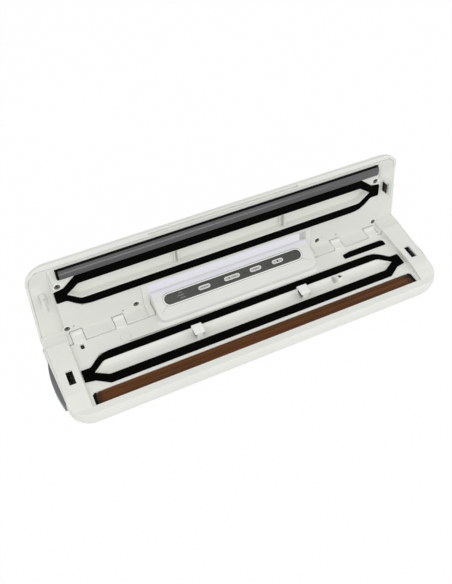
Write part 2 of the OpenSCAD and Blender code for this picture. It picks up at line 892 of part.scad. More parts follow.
module left_latch_spring() {
    place() mirror([1, 0, 0]) latch_spring();
}

// Lid hook: a blade with a catch notch in its inner side and a slanted tip.
module lid_hook() {
    notch_z0 = slider_z0 - run_gap;
    notch_z1 = slider_z1 + run_gap;
    x0 = hook_x - hook_half_w;
    color(plate_white) difference() {
        union() {
            block(
                x0, hook_x + hook_half_w, -hook_mid - hook_half_l, -hook_mid + hook_half_l,
                hook_tip_z, hook_top_z + 3
            );
            block(
                x0 - 1.5, hook_x + hook_half_w + 1.5, -hook_mid - hook_half_l - 1.5,
                -hook_mid + hook_half_l + 1.5, hook_top_z + 2, hook_top_z + 3
            );
        }
        block(
            x0 - over, x0 + notch_depth, -hook_mid - hook_half_l - over, -hook_mid + hook_half_l + over,
            notch_z0, notch_z1
        );
        translate([x0 + 1.8, 0, hook_tip_z]) rotate([0, -40, 0])
            block(-5, 0, -hook_mid - hook_half_l - over, -hook_mid + hook_half_l + over, -over, 5);
    }
}

module right_lid_hook() {
    place_lid() lid_hook();
}

module left_lid_hook() {
    place_lid() mirror([1, 0, 0]) lid_hook();
}

// ---- lid, drawn closed ----
plate_z = deck_drop + mate_gap;
plate_t = 2;
lid_front_in = 3;
lid_end_in = 1;
lid_back_in = hinge_inset - barrel_r;
lid_round_w = 16;
lid_side_z = plate_z + 1;
rim_y = 7.2 + front_y;
end_plate_z = pad_h + 0.5;
flat_h = 1.9;
end_flat_h = 4.3;
frame_w = 6;
chamber_rib_x = [-50, 55];
recess_top_z = plate_z + trough_depth;
bar_slot_z = 5;
bar_w = 9.2;
bar_mid = strip_mid - 0.8;
bar_gap = 0.5;
bar_half = strip_half - 2.5;
lid_screw_spots = [[window_half + 13, -8], [pad_x - 3.1, -7], [pad_x - 5.7, 4.1 - gasket_far]];

// Outer form of the lid, or its inside when drawn in by inset.
module lid_form(inset = 0) {
    hull() {
        form_level(plate_z, lid_front_in + 0.2 + inset, lid_end_in + 0.2 + inset, lid_back_in + inset);
        for (a = [0:15:90])
            form_level(
                lid_side_z + (lid_h - lid_side_z - inset - disc_h) * sin(a),
                lid_front_in + lid_round_w * (1 - cos(a)) + inset,
                lid_end_in + 7 * (1 - cos(a)) + inset,
                lid_back_in + 5 * (1 - cos(a)) + inset
            );
    }
}

// Space that the base's pads fill under the closed lid.
module pad_space() {
    gap = 0.5;
    difference() {
        both_ends() block(pad_x - gap, half_len + over, front_y - over, back_y + over, -over, pad_h + gap);
        above_slope(gap);
    }
}

module window_space(grow, reach_grow) {
    block(
        -window_half - grow, window_half + grow, -window_reach - reach_grow, back_y + over,
        base_z, lid_h + over
    );
}

module lid_cover() {
    recess_half = 71;
    color(white) place_lid() {
        difference() {
            lid_form();
            intersection() {
                lid_form(wall);
                block(-half_len, half_len, rim_y, back_y, 0, lid_h);
            }
            block(-half_len, half_len, rim_y, back_y - lid_back_in - wall, 0, plate_z + 0.6);
            pad_space();
            window_space(wall + fit_gap, wall + fit_gap);
            // finger groove in the front lip
            block(-recess_half, recess_half, rim_y - 3.4, rim_y - 1, 0, plate_z + 2.5);
        }
        both_ends() for (p = lid_screw_spots) translate([p[0], p[1], 6]) difference() {
            cylinder(r = 3.2, h = lid_h - wall - 5.5, $fn = 40);
            translate([0, 0, -over]) cylinder(r = 1.3, h = over + 4.8, $fn = 32);
        }
    }
}

// Tail of the lid: the hinge barrel, cut flat so that it lies level with the deck when open.
module tail(x0, x1, flat, top) {
    intersection() {
        union() {
            hinge_rod(barrel_r, x0, x1);
            block(x0, x1, 0, barrel_r, axis_z, top);
        }
        about_hinge(open_angle)
            block(x0 - over, x1 + over, -30, 30, -30, axis_z + flat);
        block(x0, x1, -30, 30, -30, top);
    }
}

module lid_plate() {
    inner_x = pad_x - 0.5 - plate_t;
    color(plate_white) place_lid() {
        difference() {
            union() {
                difference() {
                    intersection() {
                        lid_form(wall + fit_gap);
                        block(-half_len, half_len, rim_y + fit_gap, back_y, plate_z - over, end_plate_z + plate_t);
                    }
                    block(-inner_x, inner_x, rim_y - over, back_y, plate_z + plate_t, lid_h);
                }
                bar_between(plate_z, recess_top_z + 1.5) gasket_inner(wall - trough_rim, lid_far);
                bar_between(plate_z, gasket_rubber + mate_gap + 1.6) gasket_outer(1.6, lid_far);
                block(
                    -bar_half - 3, bar_half + 3, rim_y + fit_gap, bar_w / 2 + bar_gap + 2 - bar_mid,
                    plate_z, bar_slot_z + 1.5
                );
                both_ends() for (p = lid_screw_spots)
                    translate([p[0], p[1], plate_z]) cylinder(r = 4.4, h = 5.8 - plate_z, $fn = 48);
                both_ends() {
                    tail(window_half + frame_w + fit_gap, pad_x - 0.5, flat_h, plate_z);
                    tail(pad_x - 0.5, half_len - lid_end_in - 0.6, end_flat_h, end_plate_z);
                }
            }
            pad_space_front();
            bar_between(0, recess_top_z) gasket_inner(-trough_rim, lid_far);
            bar_between(0, gasket_rubber + mate_gap) gasket_ring(fit_gap, lid_far);
            block(
                -bar_half - 1.2, bar_half + 1.2, -bar_mid - bar_w / 2 - bar_gap,
                -bar_mid + bar_w / 2 + bar_gap, 0, bar_slot_z
            );
            window_space(frame_w + fit_gap, wall + fit_gap);
            both_ends() {
                for (p = lid_screw_spots) translate([p[0], p[1], 0]) {
                    cylinder(r = 3.1, h = plate_z + 2, $fn = 48);
                    cylinder(r = 1.5, h = 12, $fn = 32);
                    translate([0, 0, 5.8]) cylinder(r = 3.5, h = 6, $fn = 48);
                }
                // pockets of the base's hinge knuckles
                for (k = knuckle_spans) {
                    intersection() {
                        hinge_rod(barrel_r + 0.3, k[0] - run_gap, k[1] + run_gap);
                        block(k[0] - run_gap, k[1] + run_gap, -30, 30, -30, plate_z);
                    }
                    hinge_rod(3.3, k[0] - run_gap, k[1] + run_gap);
                }
                hinge_rod(pin_r + pin_gap, knuckle_spans[0][0] - 7, knuckle_spans[1][1] + 4);
                block(
                    hook_x - hook_half_w - fit_gap, hook_x + hook_half_w + fit_gap,
                    -hook_mid - hook_half_l - fit_gap, -hook_mid + hook_half_l + fit_gap,
                    0, lid_h
                );
            }
        }
        // moulded ribs across the chamber
        for (x = chamber_rib_x)
            block(
                x - 0.6, x + 0.6, front_arm_w + 1.3 - lid_far, -gasket_near - back_arm_w - 1.7,
                recess_top_z - 2.5, recess_top_z + 0.5
            );
    }
}

// The pads' space without the part that the tail fills.
module pad_space_front() {
    difference() {
        pad_space();
        block(-half_len, half_len, -channel_r, back_y, base_z, pad_h + over);
    }
    intersection() {
        pad_space();
        both_ends() block(pad_x - 0.5, half_len, -channel_r, -end_flat_h - 1, base_z, pad_h + over);
    }
}

// U-shaped frame round the window: a flange let into the plate and walls through the lid.
module window_frame() {
    color(plate_white) place_lid() {
        difference() {
            union() {
                intersection() {
                    lid_form();
                    union() {
                        block(
                            -window_half - frame_w, window_half + frame_w, -window_reach - wall,
                            back_y - lid_back_in - wall - fit_gap, plate_z, plate_z + plate_t
                        );
                        block(
                            -window_half - wall, window_half + wall, -window_reach - wall,
                            back_y, plate_z, lid_h
                        );
                    }
                }
                both_ends() tail(window_half, window_half + frame_w, flat_h, plate_z);
            }
            window_space(0, 0);
        }
    }
}

module lid_gasket() {
    color(black) place_lid() bar_between(mate_gap, mate_gap + gasket_rubber) gasket_ring(0, lid_far);
}

bar_bottom_z = tape_top_z + mate_gap;

// Pressing bar: a square back in the plate's slot and a face with rounded edges.
module sealing_bar() {
    edge_r = 2;
    y0 = -bar_mid - bar_w / 2;
    y1 = -bar_mid + bar_w / 2;
    color(bar_grey) place_lid() along_x(-bar_half, bar_half) polygon(concat(
        [[y1, bar_slot_z], [y0, bar_slot_z]],
        arc([y0 + edge_r, bar_bottom_z + edge_r], edge_r, 180, 270, 6),
        arc([y1 - edge_r, bar_bottom_z + edge_r], edge_r, 270, 360, 6)
    ));
}

module lid_screws() {
    color(steel) place_lid() both_ends() for (p = lid_screw_spots) translate([p[0], p[1], plate_z + 0.5]) {
        cross_head(2.7, 1.5);
        translate([0, 0, 1.5]) cylinder(r = 1.25, h = 6.5, $fn = 32);
    }
}

// ---- hinge ----
module hinge_pins() {
    color(steel) place() both_ends() hinge_rod(pin_r, knuckle_spans[0][0] - 3, knuckle_spans[1][1] + 3);
}

bottom_case();
base_deck();
rubber_feet();
case_screws();
panel_housing();
panel_overlay();
panel_key(0);  // mode_key
panel_key(1);  // vacuum_seal_key
panel_key(2);  // seal_key
panel_key(3);  // stop_key
indicator_lenses();
panel_circuit_board();
lower_gasket();
bag_clips();
air_port();
vacuum_hose();
vacuum_pump();
pump_motor();
heater_bar();
heating_element();
heater_tape();
heater_terminals();
main_circuit_board();
transformer();
power_inlet();
lid_switch();
deck_rubber_strip();
left_release_button();
right_release_button();
left_latch_spring();
right_latch_spring();
hinge_pins();
lid_cover();
lid_plate();
window_frame();
lid_gasket();
sealing_bar();
lid_screws();
left_lid_hook();
right_lid_hook();
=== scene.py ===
import json
import math

import bmesh
import bpy
from mathutils import Matrix, Vector


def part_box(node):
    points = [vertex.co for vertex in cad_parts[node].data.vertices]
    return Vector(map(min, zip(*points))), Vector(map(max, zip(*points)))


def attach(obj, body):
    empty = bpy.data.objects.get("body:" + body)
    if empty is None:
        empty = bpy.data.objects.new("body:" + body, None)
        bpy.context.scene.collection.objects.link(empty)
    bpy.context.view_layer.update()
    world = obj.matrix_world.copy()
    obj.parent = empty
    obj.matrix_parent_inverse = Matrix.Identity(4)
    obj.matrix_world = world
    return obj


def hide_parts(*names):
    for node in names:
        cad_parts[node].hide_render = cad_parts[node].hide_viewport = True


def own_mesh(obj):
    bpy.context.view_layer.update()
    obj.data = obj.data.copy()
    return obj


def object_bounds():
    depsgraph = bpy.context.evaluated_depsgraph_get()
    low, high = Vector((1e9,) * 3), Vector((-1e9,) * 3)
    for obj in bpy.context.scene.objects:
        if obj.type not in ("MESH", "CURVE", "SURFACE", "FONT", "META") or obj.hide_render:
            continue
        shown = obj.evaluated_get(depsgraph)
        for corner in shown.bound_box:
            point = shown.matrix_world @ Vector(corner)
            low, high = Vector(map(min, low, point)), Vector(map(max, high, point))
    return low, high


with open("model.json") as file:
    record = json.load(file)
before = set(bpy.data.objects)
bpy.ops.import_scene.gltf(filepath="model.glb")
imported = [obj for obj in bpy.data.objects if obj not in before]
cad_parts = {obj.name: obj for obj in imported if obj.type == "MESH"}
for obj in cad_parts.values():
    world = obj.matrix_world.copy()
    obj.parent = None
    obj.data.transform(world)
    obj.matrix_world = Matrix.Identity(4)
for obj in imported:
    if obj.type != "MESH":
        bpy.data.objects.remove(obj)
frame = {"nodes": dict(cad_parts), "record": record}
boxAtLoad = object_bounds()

print("frame loaded")
nodes = frame["nodes"]
scene = bpy.context.scene
bodyOf = {node: body for body, names in frame["record"]["behaviour"]["bodies"].items() for node in names}


# colours are written as screen values, 0 to 255
def linear(colour):
    steps = [c / 255 for c in colour]
    return [s / 12.92 if s < 0.04045 else ((s + 0.055) / 1.055) ** 2.4 for s in steps] + [1.0]


# places, from the hinge; lengths are in millimetres unless a note says otherwise
joints = {joint["name"]: joint for joint in frame["record"]["behaviour"]["joints"]}
lidJoint = joints["lid_hinge"]
openTurn = math.radians(lidJoint["range_deg"][1])
axisDrop = 0.5  # how far the hinge axis lies below the plane where the gaskets meet
millimetre = Matrix.Scale(0.001, 4)
hingePlace = lidJoint["pos_m"]
baseSpace = Matrix.Translation((0, hingePlace[1], hingePlace[2] + axisDrop / 1000)) @ millimetre
lidSpace = (
    baseSpace @ Matrix.Translation((0, 0, -axisDrop)) @ Matrix.Rotation(-openTurn, 4, "X")
    @ Matrix.Translation((0, 0, axisDrop))
)
panelPlan = {"y": -7.6, "z": 11.3, "tilt": 25.5, "front": -23.1, "half": 79.5, "rimY": 5.4}
panelSpace = (
    baseSpace @ Matrix.Translation((0, panelPlan["y"], panelPlan["z"]))
    @ Matrix.Rotation(math.radians(panelPlan["tilt"]), 4, "X")
)


# a material and its node tree, with short ways to add to it
class Finish:
    def __init__(self, name, colour, roughness, metallic=0.0, specular=0.5):
        self.material = bpy.data.materials.new(name)
        self.material.use_nodes = True
        self.tree = self.material.node_tree
        self.shader = next(n for n in self.tree.nodes if n.type == "BSDF_PRINCIPLED")
        self.shader.inputs["Base Color"].default_value = linear(colour)
        self.shader.inputs["Roughness"].default_value = roughness
        self.shader.inputs["Metallic"].default_value = metallic
        self.shader.inputs["Specular IOR Level"].default_value = specular
        self.place = self.node("ShaderNodeTexCoord").outputs["Object"]
        self.normal = None

    def node(self, kind, **settings):
        made = self.tree.nodes.new(kind)
        for name, value in settings.items():
            setattr(made, name, value)
        return made

    def join(self, source, target):
        self.tree.links.new(source, target)

    def mapped(self, scale):
        mapping = self.node("ShaderNodeMapping")
        mapping.inputs["Scale"].default_value = scale
        self.join(self.place, mapping.inputs["Vector"])
        return mapping.outputs["Vector"]

    def noise(self, scale, detail=3.0, roughness=0.55, place=None):
        made = self.node("ShaderNodeTexNoise")
        made.inputs["Scale"].default_value = scale
        made.inputs["Detail"].default_value = detail
        made.inputs["Roughness"].default_value = roughness
        self.join(place or self.place, made.inputs["Vector"])
        return made.outputs["Fac"]

    def waves(self, scale, direction, distortion=0.0):
        made = self.node("ShaderNodeTexWave", wave_type="BANDS", bands_direction=direction)
        made.inputs["Scale"].default_value = scale
        made.inputs["Distortion"].default_value = distortion
        made.inputs["Detail"].default_value = 1.0
        self.join(self.place, made.inputs["Vector"])
        return made.outputs["Fac"]

    # the piece's own X, Y or Z, in metres
    def along(self, axis):
        split = self.node("ShaderNodeSeparateXYZ")
        self.join(self.place, split.inputs[0])
        return split.outputs[axis]

    def mixed(self, first, second, kind="MULTIPLY"):
        made = self.node("ShaderNodeMath", operation=kind)
        self.join(first, made.inputs[0])
        self.join(second, made.inputs[1])
        return made.outputs[0]

    def spread(self, source, low, high, start=0.3, end=0.7):
        made = self.node("ShaderNodeMapRange")
        for name, value in (("From Min", start), ("From Max", end), ("To Min", low), ("To Max", high)):
            made.inputs[name].default_value = value
        self.join(source, made.inputs["Value"])
        return made.outputs["Result"]

    def tint(self, source, colours, stops=None):
        ramp = self.node("ShaderNodeValToRGB")
        stops = stops or [i / (len(colours) - 1) for i in range(len(colours))]
        while len(ramp.color_ramp.elements) < len(colours):
            ramp.color_ramp.elements.new(0.5)
        for element, stop, colour in zip(ramp.color_ramp.elements, stops, colours):
            element.position = stop
            element.color = linear(colour)
        self.join(source, ramp.inputs["Fac"])
        return ramp.outputs["Color"]

    def coloured(self, source, colours, stops=None):
        self.join(self.tint(source, colours, stops), self.shader.inputs["Base Color"])

    def rough(self, source, low, high):
        self.join(self.spread(source, low, high), self.shader.inputs["Roughness"])

    def relief(self, source, depth, strength=1.0):
        bump = self.node("ShaderNodeBump")
        bump.inputs["Distance"].default_value = depth
        bump.inputs["Strength"].default_value = strength
        self.join(source, bump.inputs["Height"])
        if self.normal:
            self.join(self.normal, bump.inputs["Normal"])
        self.normal = bump.outputs["Normal"]
        self.join(self.normal, self.shader.inputs["Normal"])
        return self

    # fine grain and soft dimples of a moulded surface
    def moulded(self, roughness, grain):
        fine = self.noise(mouldPlan["grainScale"], 2)
        self.rough(fine, roughness - mouldPlan["smoother"], roughness + mouldPlan["rougher"])
        self.relief(fine, grain).relief(self.noise(mouldPlan["dimpleScale"], 2), grain * 2, 0.5)
        return self.material


def near(colour, change):
    return [max(0, min(255, c + change)) for c in colour]


mouldPlan = {
    "cloudScale": 16, "grainScale": 1900, "dimpleScale": 60,
    "grain": 0.000012, "smoother": 0.05, "rougher": 0.06,
}


# flow is how far the colour drifts
def mouldedPlastic(name, colour, roughness, grain=mouldPlan["grain"], specular=0.4, flow=2):
    finish = Finish(name, colour, roughness, specular=specular)
    cloud = finish.noise(mouldPlan["cloudScale"], 4)
    finish.coloured(cloud, [near(colour, -flow), colour, near(colour, flow)], [0.3, 0.5, 0.7])
    return finish.moulded(roughness, grain)


# moulded plastic whose top rim, above a height, takes a cooler tint: a painted reflection
def reflectionRimmedPlastic(name, colour, rimReflectionColour, height, roughness):
    finish = Finish(name, colour, roughness, specular=0.4)
    rim = finish.spread(finish.along("Z"), 0.1, 1.0, height - 0.0002, height + 0.0002)
    cloud = finish.spread(finish.noise(mouldPlan["cloudScale"], 4), -0.1, 0.1)
    cloud = finish.mixed(rim, cloud, "ADD")
    finish.coloured(cloud, [near(colour, -2), near(colour, 2), rimReflectionColour], [0, 0.2, 0.9])
    return finish.moulded(roughness, mouldPlan["grain"])


def foamRubber(name, colour):
    finish = Finish(name, colour, 0.95, specular=0.04)
    pores = finish.noise(2600, 3, 0.7)
    finish.coloured(pores, [near(colour, -4), colour, near(colour, 6)], [0.3, 0.5, 0.75])
    finish.rough(finish.noise(300, 2), 0.88, 0.98)
    finish.relief(pores, 0.00006).relief(finish.noise(120, 2), 0.00004, 0.6)
    return finish.material


def silicone(name, colour):
    finish = Finish(name, colour, 0.36, specular=0.5)
    streaks = finish.noise(40, 3, 0.6, finish.mapped((1, 30, 30)))
    finish.coloured(streaks, [near(colour, -6), colour, near(colour, 6)], [0.3, 0.5, 0.7])
    finish.rough(finish.noise(500, 3), 0.3, 0.46)
    finish.relief(streaks, 0.00002).relief(finish.noise(1500, 2), 0.00001)
    return finish.material


# painted highlight along the crest, fading to the plain rubber towards the right end
def highlightCrestRubber(name, colour, highlightColour):
    finish = Finish(name, highlightColour, 0.3)
    fade = finish.spread(finish.along("X"), 0, 1, 0.03, 0.12)
    drift = finish.mixed(fade, finish.spread(finish.noise(30, 3), -0.15, 0.15), "ADD")
    finish.coloured(drift, [highlightColour, colour], [0.05, 0.95])
    finish.rough(finish.noise(500, 3), 0.24, 0.4)
    finish.relief(finish.noise(1500, 2), 0.00001)
    return finish.material


# woven tape with painted shade: it darkens where its ends fold down
def glassCloth(name, colours, fade):
    finish = Finish(name, colours[2], 0.5, specular=0.2)
    threads = finish.mixed(finish.waves(330, "X"), finish.waves(330, "Y"))
    streaks = finish.noise(25, 4, 0.65, finish.mapped((0.35, 22, 22)))
    cloud = finish.mixed(streaks, finish.spread(threads, -0.06, 0.06, 0, 1), "ADD")
    away = finish.node("ShaderNodeMath", operation="ABSOLUTE")
    finish.join(finish.along("X"), away.inputs[0])
    cloud = finish.mixed(cloud, finish.spread(away.outputs[0], 0, -0.35, *fade), "ADD")
    finish.coloured(cloud, colours, [0.1, 0.34, 0.5, 0.66])
    finish.rough(finish.noise(200, 3), 0.34, 0.55)
    finish.relief(threads, 0.00004).relief(streaks, 0.00008)
    return finish.material


def workedSteel(name, colour, roughness=0.32, lines=(4, 4, 60)):
    finish = Finish(name, colour, roughness, metallic=1.0)
    brushed = finish.noise(90, 3, 0.6, finish.mapped(lines))
    finish.coloured(brushed, [near(colour, -14), colour, near(colour, 10)], [0.3, 0.5, 0.72])
    finish.rough(brushed, roughness - 0.08, roughness + 0.12)
    finish.relief(brushed, 0.00001)
    return finish.material


def circuitBoard(name, colour):
    finish = Finish(name, colour, 0.4)
    tracks = finish.waves(60, "X", 3.0)
    finish.coloured(tracks, [near(colour, -8), colour, near(colour, 16)], [0.4, 0.55, 0.62])
    finish.rough(tracks, 0.35, 0.5)
    return finish.relief(tracks, 0.00002).material


look = {
    "deckWhite": (237, 238, 232),
    "plateWhite": (231, 232, 226),
    "rubberBlack": (5, 5, 4),
    "sealGrey": (84, 84, 85),
    "crestHighlightGrey": (119, 119, 121),
    "overlayGrey": (70, 71, 67),
    "keyWhite": (249, 249, 245),
    "keyFace": (190, 190, 186),
    "markDark": (62, 62, 60),
    "markPale": (150, 151, 146),
    "buttonGrey": (118, 120, 123),
    "cloth": [(30, 22, 14), (70, 42, 17), (91, 53, 19), (112, 66, 26)],
    "clothEndShade": (0.1475, 0.1545),  # metres from the middle, where the tape's ends darken
    "brightWhite": (252, 252, 249),
    "panelWhite": (234, 235, 230),
    "panelRim": (240, 240, 247),
    "lensDark": (40, 41, 40),
    "barTan": (186, 122, 62),
    "steel": (168, 166, 162),
    "darkSteel": (150, 146, 134),
    "socketBrown": (64, 54, 44),
    "slotBlack": (9, 9, 9),
    "boardGreen": (30, 92, 56),
    "innerBlackAndShade": (26, 26, 26),
    "hoseWhite": (214, 214, 208),
}
rimHeight = (panelSpace @ Vector((0, panelPlan["rimY"], 0))).z

materials = {
    "deck": mouldedPlastic("deckPlastic", look["deckWhite"], 0.4),
    "plate": mouldedPlastic("platePlastic", look["plateWhite"], 0.5, grain=0.00002, specular=0.35),
    "rubber": foamRubber("gasketRubber", look["rubberBlack"]),
    "seal": silicone("sealRubber", look["sealGrey"]),
    "overlay": mouldedPlastic(
        "overlayFilm", look["overlayGrey"], 0.38, grain=0.000008, specular=0.45, flow=4,
    ),
    "bright": mouldedPlastic("brightPlasticAndHighlight", look["brightWhite"], 0.3),
    # the housing's top rim carries a painted reflection, a cooler tint
    "panel": reflectionRimmedPlastic("panelPlastic", look["panelWhite"], look["panelRim"], rimHeight, 0.4),
    "key": mouldedPlastic("keyPlastic", look["keyWhite"], 0.35),
    "keyFace": mouldedPlastic("keyFacePlasticAndShade", look["keyFace"], 0.35),
    "markDark": mouldedPlastic("darkInkAndShade", look["markDark"], 0.5),
    "markPale": mouldedPlastic("paleInkAndShade", look["markPale"], 0.5),
    "lens": mouldedPlastic("lensPlastic", look["lensDark"], 0.2, specular=0.6),
    "button": mouldedPlastic(
        "buttonPlastic", look["buttonGrey"], 0.34, grain=0.00001, specular=0.5, flow=4,
    ),
    "tape": glassCloth("tapeCloth", look["cloth"], look["clothEndShade"]),
    "tan": mouldedPlastic("barTan", look["barTan"], 0.6, grain=0.00003, specular=0.3, flow=8),
    "steel": workedSteel("screwSteel", look["steel"]),
    "screw": workedSteel("darkScrewSteel", look["darkSteel"], 0.4, lines=(30, 30, 30)),
    "socket": mouldedPlastic("socketShade", look["socketBrown"], 0.7, grain=0.00003, specular=0.2, flow=12),
    "crest": highlightCrestRubber("sealCrest", look["sealGrey"], look["crestHighlightGrey"]),
    "black": mouldedPlastic("slotBlack", look["slotBlack"], 0.8, grain=0.00002, specular=0.1),
    "board": circuitBoard("boardGreen", look["boardGreen"]),
    "dark": mouldedPlastic("innerBlackAndShade", look["innerBlackAndShade"], 0.55, grain=0.00003, specular=0.3, flow=3),
    "hose": silicone("hoseSilicone", look["hoseWhite"]),
}

# every carried node's finish; most nodes are also replaced by a softened copy below
nodeFinish = {
    "bottom_case": "deck", "base_deck": "deck", "rubber_feet": "rubber", "case_screws": "steel",
    "panel_housing": "panel", "panel_overlay": "overlay", "mode_key": "key", "vacuum_seal_key": "key",
    "seal_key": "key", "stop_key": "key", "indicator_lenses": "lens", "panel_circuit_board": "board",
    "lower_gasket": "rubber", "bag_clips": "bright", "air_port": "deck", "vacuum_hose": "hose",
    "vacuum_pump": "dark", "pump_motor": "steel", "heater_bar": "tan", "heating_element": "steel",
    "heater_tape": "tape", "heater_terminals": "dark", "main_circuit_board": "board",
    "transformer": "steel", "power_inlet": "dark", "lid_switch": "dark", "deck_rubber_strip": "rubber",
    "left_release_button": "button", "right_release_button": "button", "left_latch_spring": "steel",
    "right_latch_spring": "steel", "hinge_pins": "steel", "lid_cover": "deck", "lid_plate": "plate",
    "window_frame": "deck", "lid_gasket": "rubber", "sealing_bar": "seal", "lid_screws": "screw",
    "left_lid_hook": "plate", "right_lid_hook": "plate",
}
for name, key in nodeFinish.items():
    mesh = nodes[name].data
    mesh.materials.clear()
    mesh.materials.append(materials[key])
print("finishes made")


# smooth, but sharp at edges over the angle in degrees
def shadeByAngle(mesh, angle=42):
    mesh.shade_smooth()
    mesh.set_sharp_from_angle(angle=math.radians(angle))


# a bmesh solid, drawn in millimetres in its own space, made a finished piece on a body
def placed(pieceName, solid, space, materialNames, body, replaced=()):
    solid.transform(space)
    bmesh.ops.recalc_face_normals(solid, faces=solid.faces)
    mesh = bpy.data.meshes.new(pieceName)
    solid.to_mesh(mesh)
    solid.free()
    for name in materialNames:
        mesh.materials.append(materials[name])
    shadeByAngle(mesh)
    piece = bpy.data.objects.new(pieceName, mesh)
    scene.collection.objects.link(piece)
    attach(piece, body)
    if replaced:
        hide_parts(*replaced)


def evaluated(piece):
    return bpy.data.meshes.new_from_object(piece.evaluated_get(bpy.context.evaluated_depsgraph_get()))


# as bottom_case becomes bottomCase
def camelCase(nodeName):
    first, *others = nodeName.split("_")
    return first + "".join(word.capitalize() for word in others)


# the weld is in metres; flat sides of the nodes named last have their triangles joined first
softPlan = {
    "segments": 2, "weld": 0.00004, "angle": math.radians(30),
    "joinAngle": 0.005, "flatSided": ("bottom_case",),
}


# a node's copy with its edges rounded by a width, which stands for the node
def softened(nodeName, width, reshape=None, space=None):
    mesh = nodes[nodeName].data.copy()
    piece = bpy.data.objects.new(camelCase(nodeName), mesh)
    scene.collection.objects.link(piece)
    solid = bmesh.new()
    solid.from_mesh(mesh)
    bmesh.ops.remove_doubles(solid, verts=solid.verts, dist=softPlan["weld"])
    if nodeName in softPlan["flatSided"]:
        limit = softPlan["joinAngle"]
        bmesh.ops.dissolve_limit(solid, angle_limit=limit, verts=solid.verts, edges=solid.edges)
    if reshape:
        back = space.inverted()
        for corner in solid.verts:
            corner.co = space @ reshape(back @ corner.co)
    solid.to_mesh(mesh)
    solid.free()
    bevel = piece.modifiers.new("edgeRound", "BEVEL")
    bevel.width = width / 1000
    bevel.segments = softPlan["segments"]
    bevel.limit_method = "ANGLE"
    bevel.angle_limit = softPlan["angle"]
    bevel.use_clamp_overlap = False
    result = evaluated(piece)
    piece.modifiers.clear()
    piece.data = result
    shadeByAngle(result)
    weighted = piece.modifiers.new("flatFaces", "WEIGHTED_NORMAL")
    weighted.keep_sharp = True
    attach(piece, bodyOf[nodeName])
    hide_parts(nodeName)
    return piece


# an outline with its corners rounded by the radii
def filleted(points, radii, steps=7):
    rounded = []
    count = len(points)
    for i, (point, radius) in enumerate(zip(points, radii)):
        corner, before, after = (Vector(points[k % count]) for k in (i, i - 1, i + 1))
        toBefore, toAfter = (before - corner).normalized(), (after - corner).normalized()
        half = toBefore.angle(toAfter) / 2
        if radius == 0 or half > 1.5:  # sharp, or so nearly straight that no arc is needed
            rounded.append(tuple(corner))
            continue
        reach = radius / math.tan(half)
        middle = corner + (toBefore + toAfter).normalized() * (radius / math.sin(half))
        first, last = corner + toBefore * reach, corner + toAfter * reach
        start, end = first - middle, last - middle
        turn = start.angle_signed(end)
        for k in range(steps + 1):
            rounded.append(tuple(middle + Matrix.Rotation(-turn * k / steps, 2) @ start))
    return rounded


def mirroredOutline(points, radii):
    return points + [(-x, y) for x, y in reversed(points)], radii + list(reversed(radii))


def pill(length, width, x=0.0, steps=14):
    reach, r = (length - width) / 2, width / 2
    ends = []
    for side in (1, -1):
        for k in range(steps + 1):
            a = math.radians(-90 + 180 * k / steps)
            ends.append((x + side * (reach + r * math.cos(a)), side * r * math.sin(a)))
    return ends


def disc(radius, x=0.0, steps=32):
    turns = [2 * math.pi * k / steps for k in range(steps)]
    return [(x + radius * math.cos(a), radius * math.sin(a)) for a in turns]


def oblong(x0, x1, y0, y1):
    return [(x0, y0), (x1, y0), (x1, y1), (x0, y1)]


# a flat slab with rounded edges: the first outline is outside, the others are holes
def slab(outlines, low, high, edge, slotIndex=0, rounds=3):
    curve = bpy.data.curves.new("outline", "CURVE")
    curve.dimensions = "2D"
    curve.fill_mode = "BOTH"
    curve.extrude = (high - low) / 2 - edge
    curve.bevel_depth = edge
    curve.bevel_resolution = rounds
    curve.offset = -edge
    for outline in outlines:
        spline = curve.splines.new("POLY")
        spline.points.add(len(outline) - 1)
        for point, (x, y) in zip(spline.points, outline):
            point.co = (x, y, 0, 1)
        spline.use_cyclic_u = True
    holder = bpy.data.objects.new("outline", curve)
    scene.collection.objects.link(holder)
    mesh = evaluated(holder)
    bpy.data.objects.remove(holder)
    bpy.data.curves.remove(curve)
    solid = bmesh.new()
    solid.from_mesh(mesh)
    bpy.data.meshes.remove(mesh)
    bmesh.ops.remove_doubles(solid, verts=solid.verts, dist=0.002)
    bmesh.ops.translate(solid, verts=solid.verts, vec=(0, 0, (low + high) / 2))
    for face in solid.faces:
        face.material_index = slotIndex
    return solid


# rows of points joined into a skin, closed along the row and capped at both ends if asked
def skin(rows, closed=True, capped=True, slotIndex=0):
    solid = bmesh.new()
    grid = [[solid.verts.new(point) for point in row] for row in rows]
    count = len(grid[0])
    for row, following in zip(grid, grid[1:]):
        for k in range(count if closed else count - 1):
            n = (k + 1) % count
            solid.faces.new((row[k], row[n], following[n], following[k]))
    if capped:
        solid.faces.new(grid[0])
        solid.faces.new(list(reversed(grid[-1])))
    for face in solid.faces:
        face.material_index = slotIndex
    return solid


# several solids in one mesh
def gathered(solids):
    whole = bmesh.new()
    for solid in solids:
        mesh = bpy.data.meshes.new("part")
        solid.to_mesh(mesh)
        solid.free()
        whole.from_mesh(mesh)
        bpy.data.meshes.remove(mesh)
    return whole


def blocks(outlines, low, high, edge):
    return gathered([slab([outline], low, high, edge) for outline in outlines])


# turned solid about Z from a profile of (radius, height)
def turned(profile, place=(0, 0, 0), steps=28, slotIndex=0):
    x, y, z = place
    turns = [2 * math.pi * k / steps for k in range(steps)]
    rows = [
        [(x + radius * math.cos(a), y + radius * math.sin(a), z + height) for a in turns]
        for radius, height in profile
    ]
    return skin(rows, slotIndex=slotIndex)


